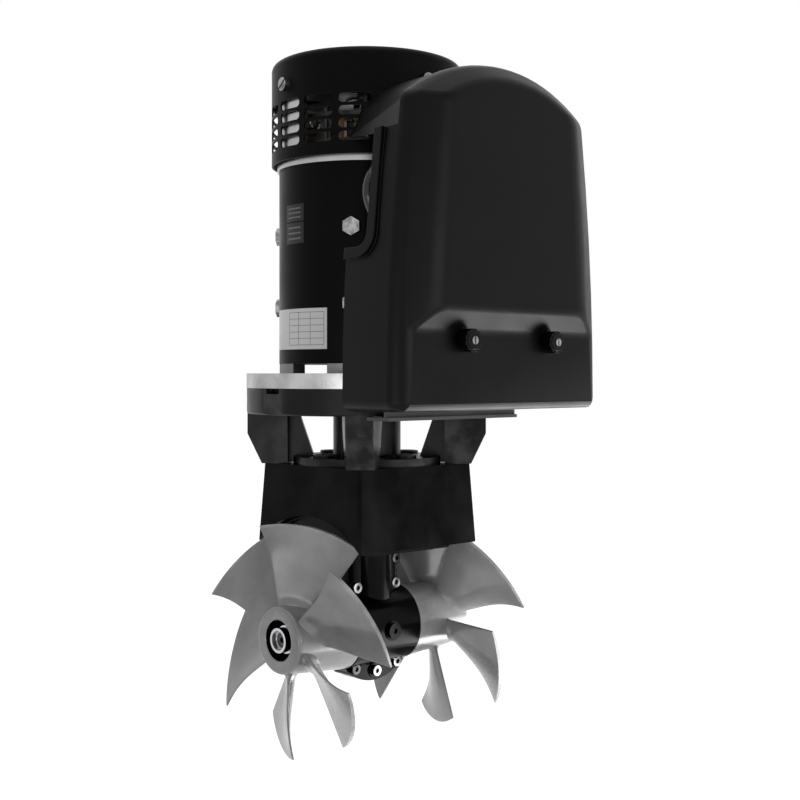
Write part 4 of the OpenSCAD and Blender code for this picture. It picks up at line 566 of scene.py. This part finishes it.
# Inside the ring of posts the shield is painted near black and not metallic, as painted shade under the cap.
SHIELD_POST_R = 0.062
SHADE_EDGE = 0.002
PAINTED_SHADE_UNDER_CAP = (0.012, 0.012, 0.0125, 1)
rim_tree = turned_rim.node_tree
rim_place = rim_tree.nodes.new("ShaderNodeTexCoord")
across = rim_tree.nodes.new("ShaderNodeVectorMath")
across.operation = "MULTIPLY"
across.inputs[1].default_value = (1, 1, 0)
radius = rim_tree.nodes.new("ShaderNodeVectorMath")
radius.operation = "LENGTH"
outside_shade = rim_tree.nodes.new("ShaderNodeMapRange")
outside_shade.inputs["From Min"].default_value = SHIELD_POST_R - SHADE_EDGE
outside_shade.inputs["From Max"].default_value = SHIELD_POST_R
rim_tones = rim_tree.nodes.new("ShaderNodeMix")
rim_tones.data_type = "RGBA"
rim_tones.inputs["A"].default_value = PAINTED_SHADE_UNDER_CAP
rim_shader = rim_tree.nodes["Principled BSDF"]
rim_shader.inputs["Specular IOR Level"].default_value = 0.05
rim_colour = rim_shader.inputs["Base Color"].links[0].from_socket
for source, target in ((rim_place.outputs["Object"], across.inputs[0]),
                       (across.outputs["Vector"], radius.inputs[0]),
                       (radius.outputs["Value"], outside_shade.inputs["Value"]),
                       (outside_shade.outputs["Result"], rim_tones.inputs["Factor"]),
                       (outside_shade.outputs["Result"], rim_shader.inputs["Metallic"]),
                       (rim_colour, rim_tones.inputs["B"]),
                       (rim_tones.outputs["Result"], rim_shader.inputs["Base Color"])):
    rim_tree.links.new(source, target)
finish_node(["brush_end_shield"], turned_rim)

# Motor yoke: rolled steel tube in black semi gloss paint, the body of the motor. The pole
# bolts go through it, and three small blank plates are stuck on its left side.
YOKE_R = 0.072
PLATE_T = 0.00018
PLATE_STEP = 3
INK_T = 0.00004
yoke_paint = finish("yoke_paint", (0.001, 0.001, 0.0011), (0.004, 0.004, 0.0042), 0.34, spread=0.06,
                    amount=0.3, mark_scale=18, grain_scale=420, bump=0.12, depth=0.0001, gloss=0.045)


def add_sheen(mat):
    """The pale edge that satin paint shows on a round body."""
    shader = mat.node_tree.nodes["Principled BSDF"]
    shader.inputs["Sheen Weight"].default_value = 0.12
    shader.inputs["Sheen Roughness"].default_value = 0.3


add_sheen(yoke_paint)
finish_node(["motor_yoke"], yoke_paint)


def wrapped_plate(bm, r, turn_0, turn_1, z_0, z_1, thick, material):
    """A thin plate that lies on the round yoke, from turn_0 to turn_1 in degrees."""
    steps = max(2, round((turn_1 - turn_0) / PLATE_STEP))
    columns = []
    for i in range(steps + 1):
        a = math.radians(lerp(turn_0, turn_1, i / steps))
        columns.append([bm.verts.new((q * math.cos(a), q * math.sin(a), z))
                        for q, z in ((r, z_0), (r + thick, z_0), (r + thick, z_1), (r, z_1))])
    faces = [bm.faces.new((columns[i][k], columns[i + 1][k], columns[i + 1][(k + 1) % 4], columns[i][(k + 1) % 4]))
             for i in range(steps) for k in range(4)]
    faces.append(bm.faces.new(columns[0][::-1]))
    faces.append(bm.faces.new(columns[-1]))
    for f in faces:
        f.material_index = material


def yoke_plate(name, turn_0, turn_1, z_0, z_1, face, ink, rules):
    """A plate with ruled lines, each line as turn from, turn to, height from, height to, in shares."""
    bm = bmesh.new()
    wrapped_plate(bm, YOKE_R, turn_0, turn_1, z_0, z_1, PLATE_T, 0)
    for a0, a1, h0, h1 in rules:
        wrapped_plate(bm, YOKE_R + PLATE_T - INK_T, lerp(turn_0, turn_1, a0), lerp(turn_0, turn_1, a1),
                      lerp(z_0, z_1, h0), lerp(z_0, z_1, h1), 2 * INK_T, 1)
    bmesh.ops.recalc_face_normals(bm, faces=bm.faces)
    mesh = bpy.data.meshes.new(name)
    bm.to_mesh(mesh)
    bm.free()
    mesh.materials.append(face)
    mesh.materials.append(ink)
    o = bpy.data.objects.new(name, mesh)
    bpy.context.scene.collection.objects.link(o)
    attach(o, "frame")


label_foil = finish("label_foil", (0.66, 0.66, 0.66), (0.46, 0.46, 0.46), 0.35, amount=0.3, grain_scale=900)
label_ink = finish("label_ink", (0.12, 0.12, 0.12), (0.2, 0.2, 0.2), 0.4, grain_scale=900)
etched_plate = finish("etched_plate", (0.008, 0.008, 0.008), (0.02, 0.02, 0.02), 0.3, grain_scale=900, gloss=0.2)
etched_line = finish("etched_line", (0.09, 0.09, 0.09), (0.06, 0.06, 0.06), 0.4, grain_scale=900)
RULE = 0.012
FORM_TURNS = (0.42, 0.6, 0.78, 0.96)
FORM_HEIGHTS = (0.1, 0.26, 0.42, 0.58, 0.74, 0.9)
form_rows = [(FORM_TURNS[0], FORM_TURNS[-1], h, h + RULE) for h in FORM_HEIGHTS]
form_columns = [(a, a + RULE / 2, FORM_HEIGHTS[0], FORM_HEIGHTS[-1] + RULE) for a in FORM_TURNS]
yoke_plate("form_label", 146, 203, 0.2265, 0.2585, label_foil, label_ink, form_rows + form_columns)
ETCHED_RULE = 0.08
plate_rows = [(0.15, 0.85, h, h + ETCHED_RULE) for h in (0.2, 0.46, 0.72)]
yoke_plate("upper_etched_plate", 166, 185, 0.3275, 0.341, etched_plate, etched_line, plate_rows)
yoke_plate("lower_etched_plate", 166, 185, 0.310, 0.3265, etched_plate, etched_line, plate_rows)

# Poles, coils and armature: laminated iron with its edges showing as fine lines, and
# copper bars taped into coils. They fill the yoke and can be seen only through its ends.
core_iron = finish("core_iron", (0.12, 0.12, 0.125), (0.2, 0.15, 0.12), 0.5, metal=0.8, grain_scale=900,
                   stretch=(1, 1, 12), bump=0.4)
finish_node(["pole_shoes", "armature"], core_iron)
copper = finish("copper", (0.2, 0.1, 0.065), (0.1, 0.055, 0.035), 0.32, metal=1.0, grain_scale=600,
                stretch=(1, 1, 0.1), bump=0.5, depth=0.0002)
finish_node(["field_coils", "commutator"], copper)

# Brush gear: tinned brass boxes on a laminated board, carbon brushes and their springs.
# It is screwed to the posts of the end shield and shows through the vents of the cap. The
# terminals are of the same brass, and the fuse holder is of the same board.
tinned_brass = finish("tinned_brass", (0.24, 0.225, 0.19), (0.12, 0.11, 0.09), 0.24, metal=1.0, grain_scale=1600)
finish_node(["brush_boxes", "motor_terminals", "contactor_terminals", "brush_springs"], tinned_brass)
carbon = finish("carbon", (0.02, 0.02, 0.021), (0.05, 0.05, 0.05), 0.55, grain_scale=1500)
finish_node(["brushes"], carbon)
laminated_board = finish("laminated_board", (0.012, 0.007, 0.005), (0.03, 0.018, 0.012), 0.45, grain_scale=900)
# The bus rings take the dark board finish as painted shade under the cap.
finish_node(["brush_carrier", "brush_bus_rings", "fuse_holder"], laminated_board)

# Motor cap: spun steel in satin black paint, slotted for the cooling air. It drops over
# the brush gear and four screws hold it.
cap_paint = finish("cap_paint", (0.0012, 0.0012, 0.0013), (0.005, 0.005, 0.0052), 0.42, spread=0.06,
                   amount=0.3, mark_scale=20, grain_scale=900, bump=0.25, depth=0.0001, gloss=0.045)
add_sheen(cap_paint)
finish_node(["motor_cap"], cap_paint)

# Control plate, contactors and leads: a folded plate in powder coat, two enamelled steel
# cans on it, the control box, and two heavy leads to the motor in glossy black sheath.
powder_coat = finish("powder_coat", (0.02, 0.02, 0.021), (0.05, 0.05, 0.05), 0.5, grain_scale=700, bump=0.4)
finish_node(["control_plate"], powder_coat)
can_enamel = finish("can_enamel", (0.05, 0.05, 0.052), (0.09, 0.09, 0.09), 0.3, grain_scale=500)
finish_node(["contactor_cans"], can_enamel)
finish_node(["control_box"], saddle_plastic)
lead_sheath = finish("lead_sheath", (0.006, 0.006, 0.006), (0.015, 0.015, 0.015), 0.16, grain_scale=300, gloss=0.4)
finish_node(["motor_leads"], lead_sheath)

# Cover: the moulded hood over the electrical parts, black plastic with a fine spark
# eroded grain and well rounded edges. It slides over the plate and two knobs hold it.
LIP_Y = (-0.1395, -0.0975)
LIP_Z = (0.286, 0.384)
LIP_X = 0.0945
RECESS_EDGE_Z = (0.205, 0.262)
RECESS_EDGE_Y = -0.12


def on_lip(p):
    return LIP_Y[0] < p.y < LIP_Y[1] and LIP_Z[0] < p.z < LIP_Z[1] and abs(p.x) > LIP_X


def on_recess(p):
    return p.y < RECESS_EDGE_Y and RECESS_EDGE_Z[0] < p.z < RECESS_EDGE_Z[1]


cover_plastic = finish("cover_plastic", (0.0015, 0.0015, 0.0016), (0.004, 0.004, 0.0042), 0.36, spread=0.05,
                       amount=0.3, mark_scale=9, grain_scale=1700, bump=0.35, depth=0.00009, gloss=0.1)
worked_copy("cover", "cover_moulding", "frame", cover_plastic, 0.001, 3,
            soft=((on_lip, 0.0022, False), (on_recess, 0.0035, True)))

# Cover knobs: black plastic nuts with a grip rim, turned by hand on the two studs, whose
# bright slotted ends show in the middle.
knob_plastic = finish("knob_plastic", (0.002, 0.002, 0.002), (0.01, 0.01, 0.01), 0.2, grain_scale=800, gloss=0.12)
worked_copy("cover_knob_left", "knob_left", "knob_left", knob_plastic, 0.0006, 2)
worked_copy("cover_knob_right", "knob_right", "knob_right", knob_plastic, 0.0006, 2)
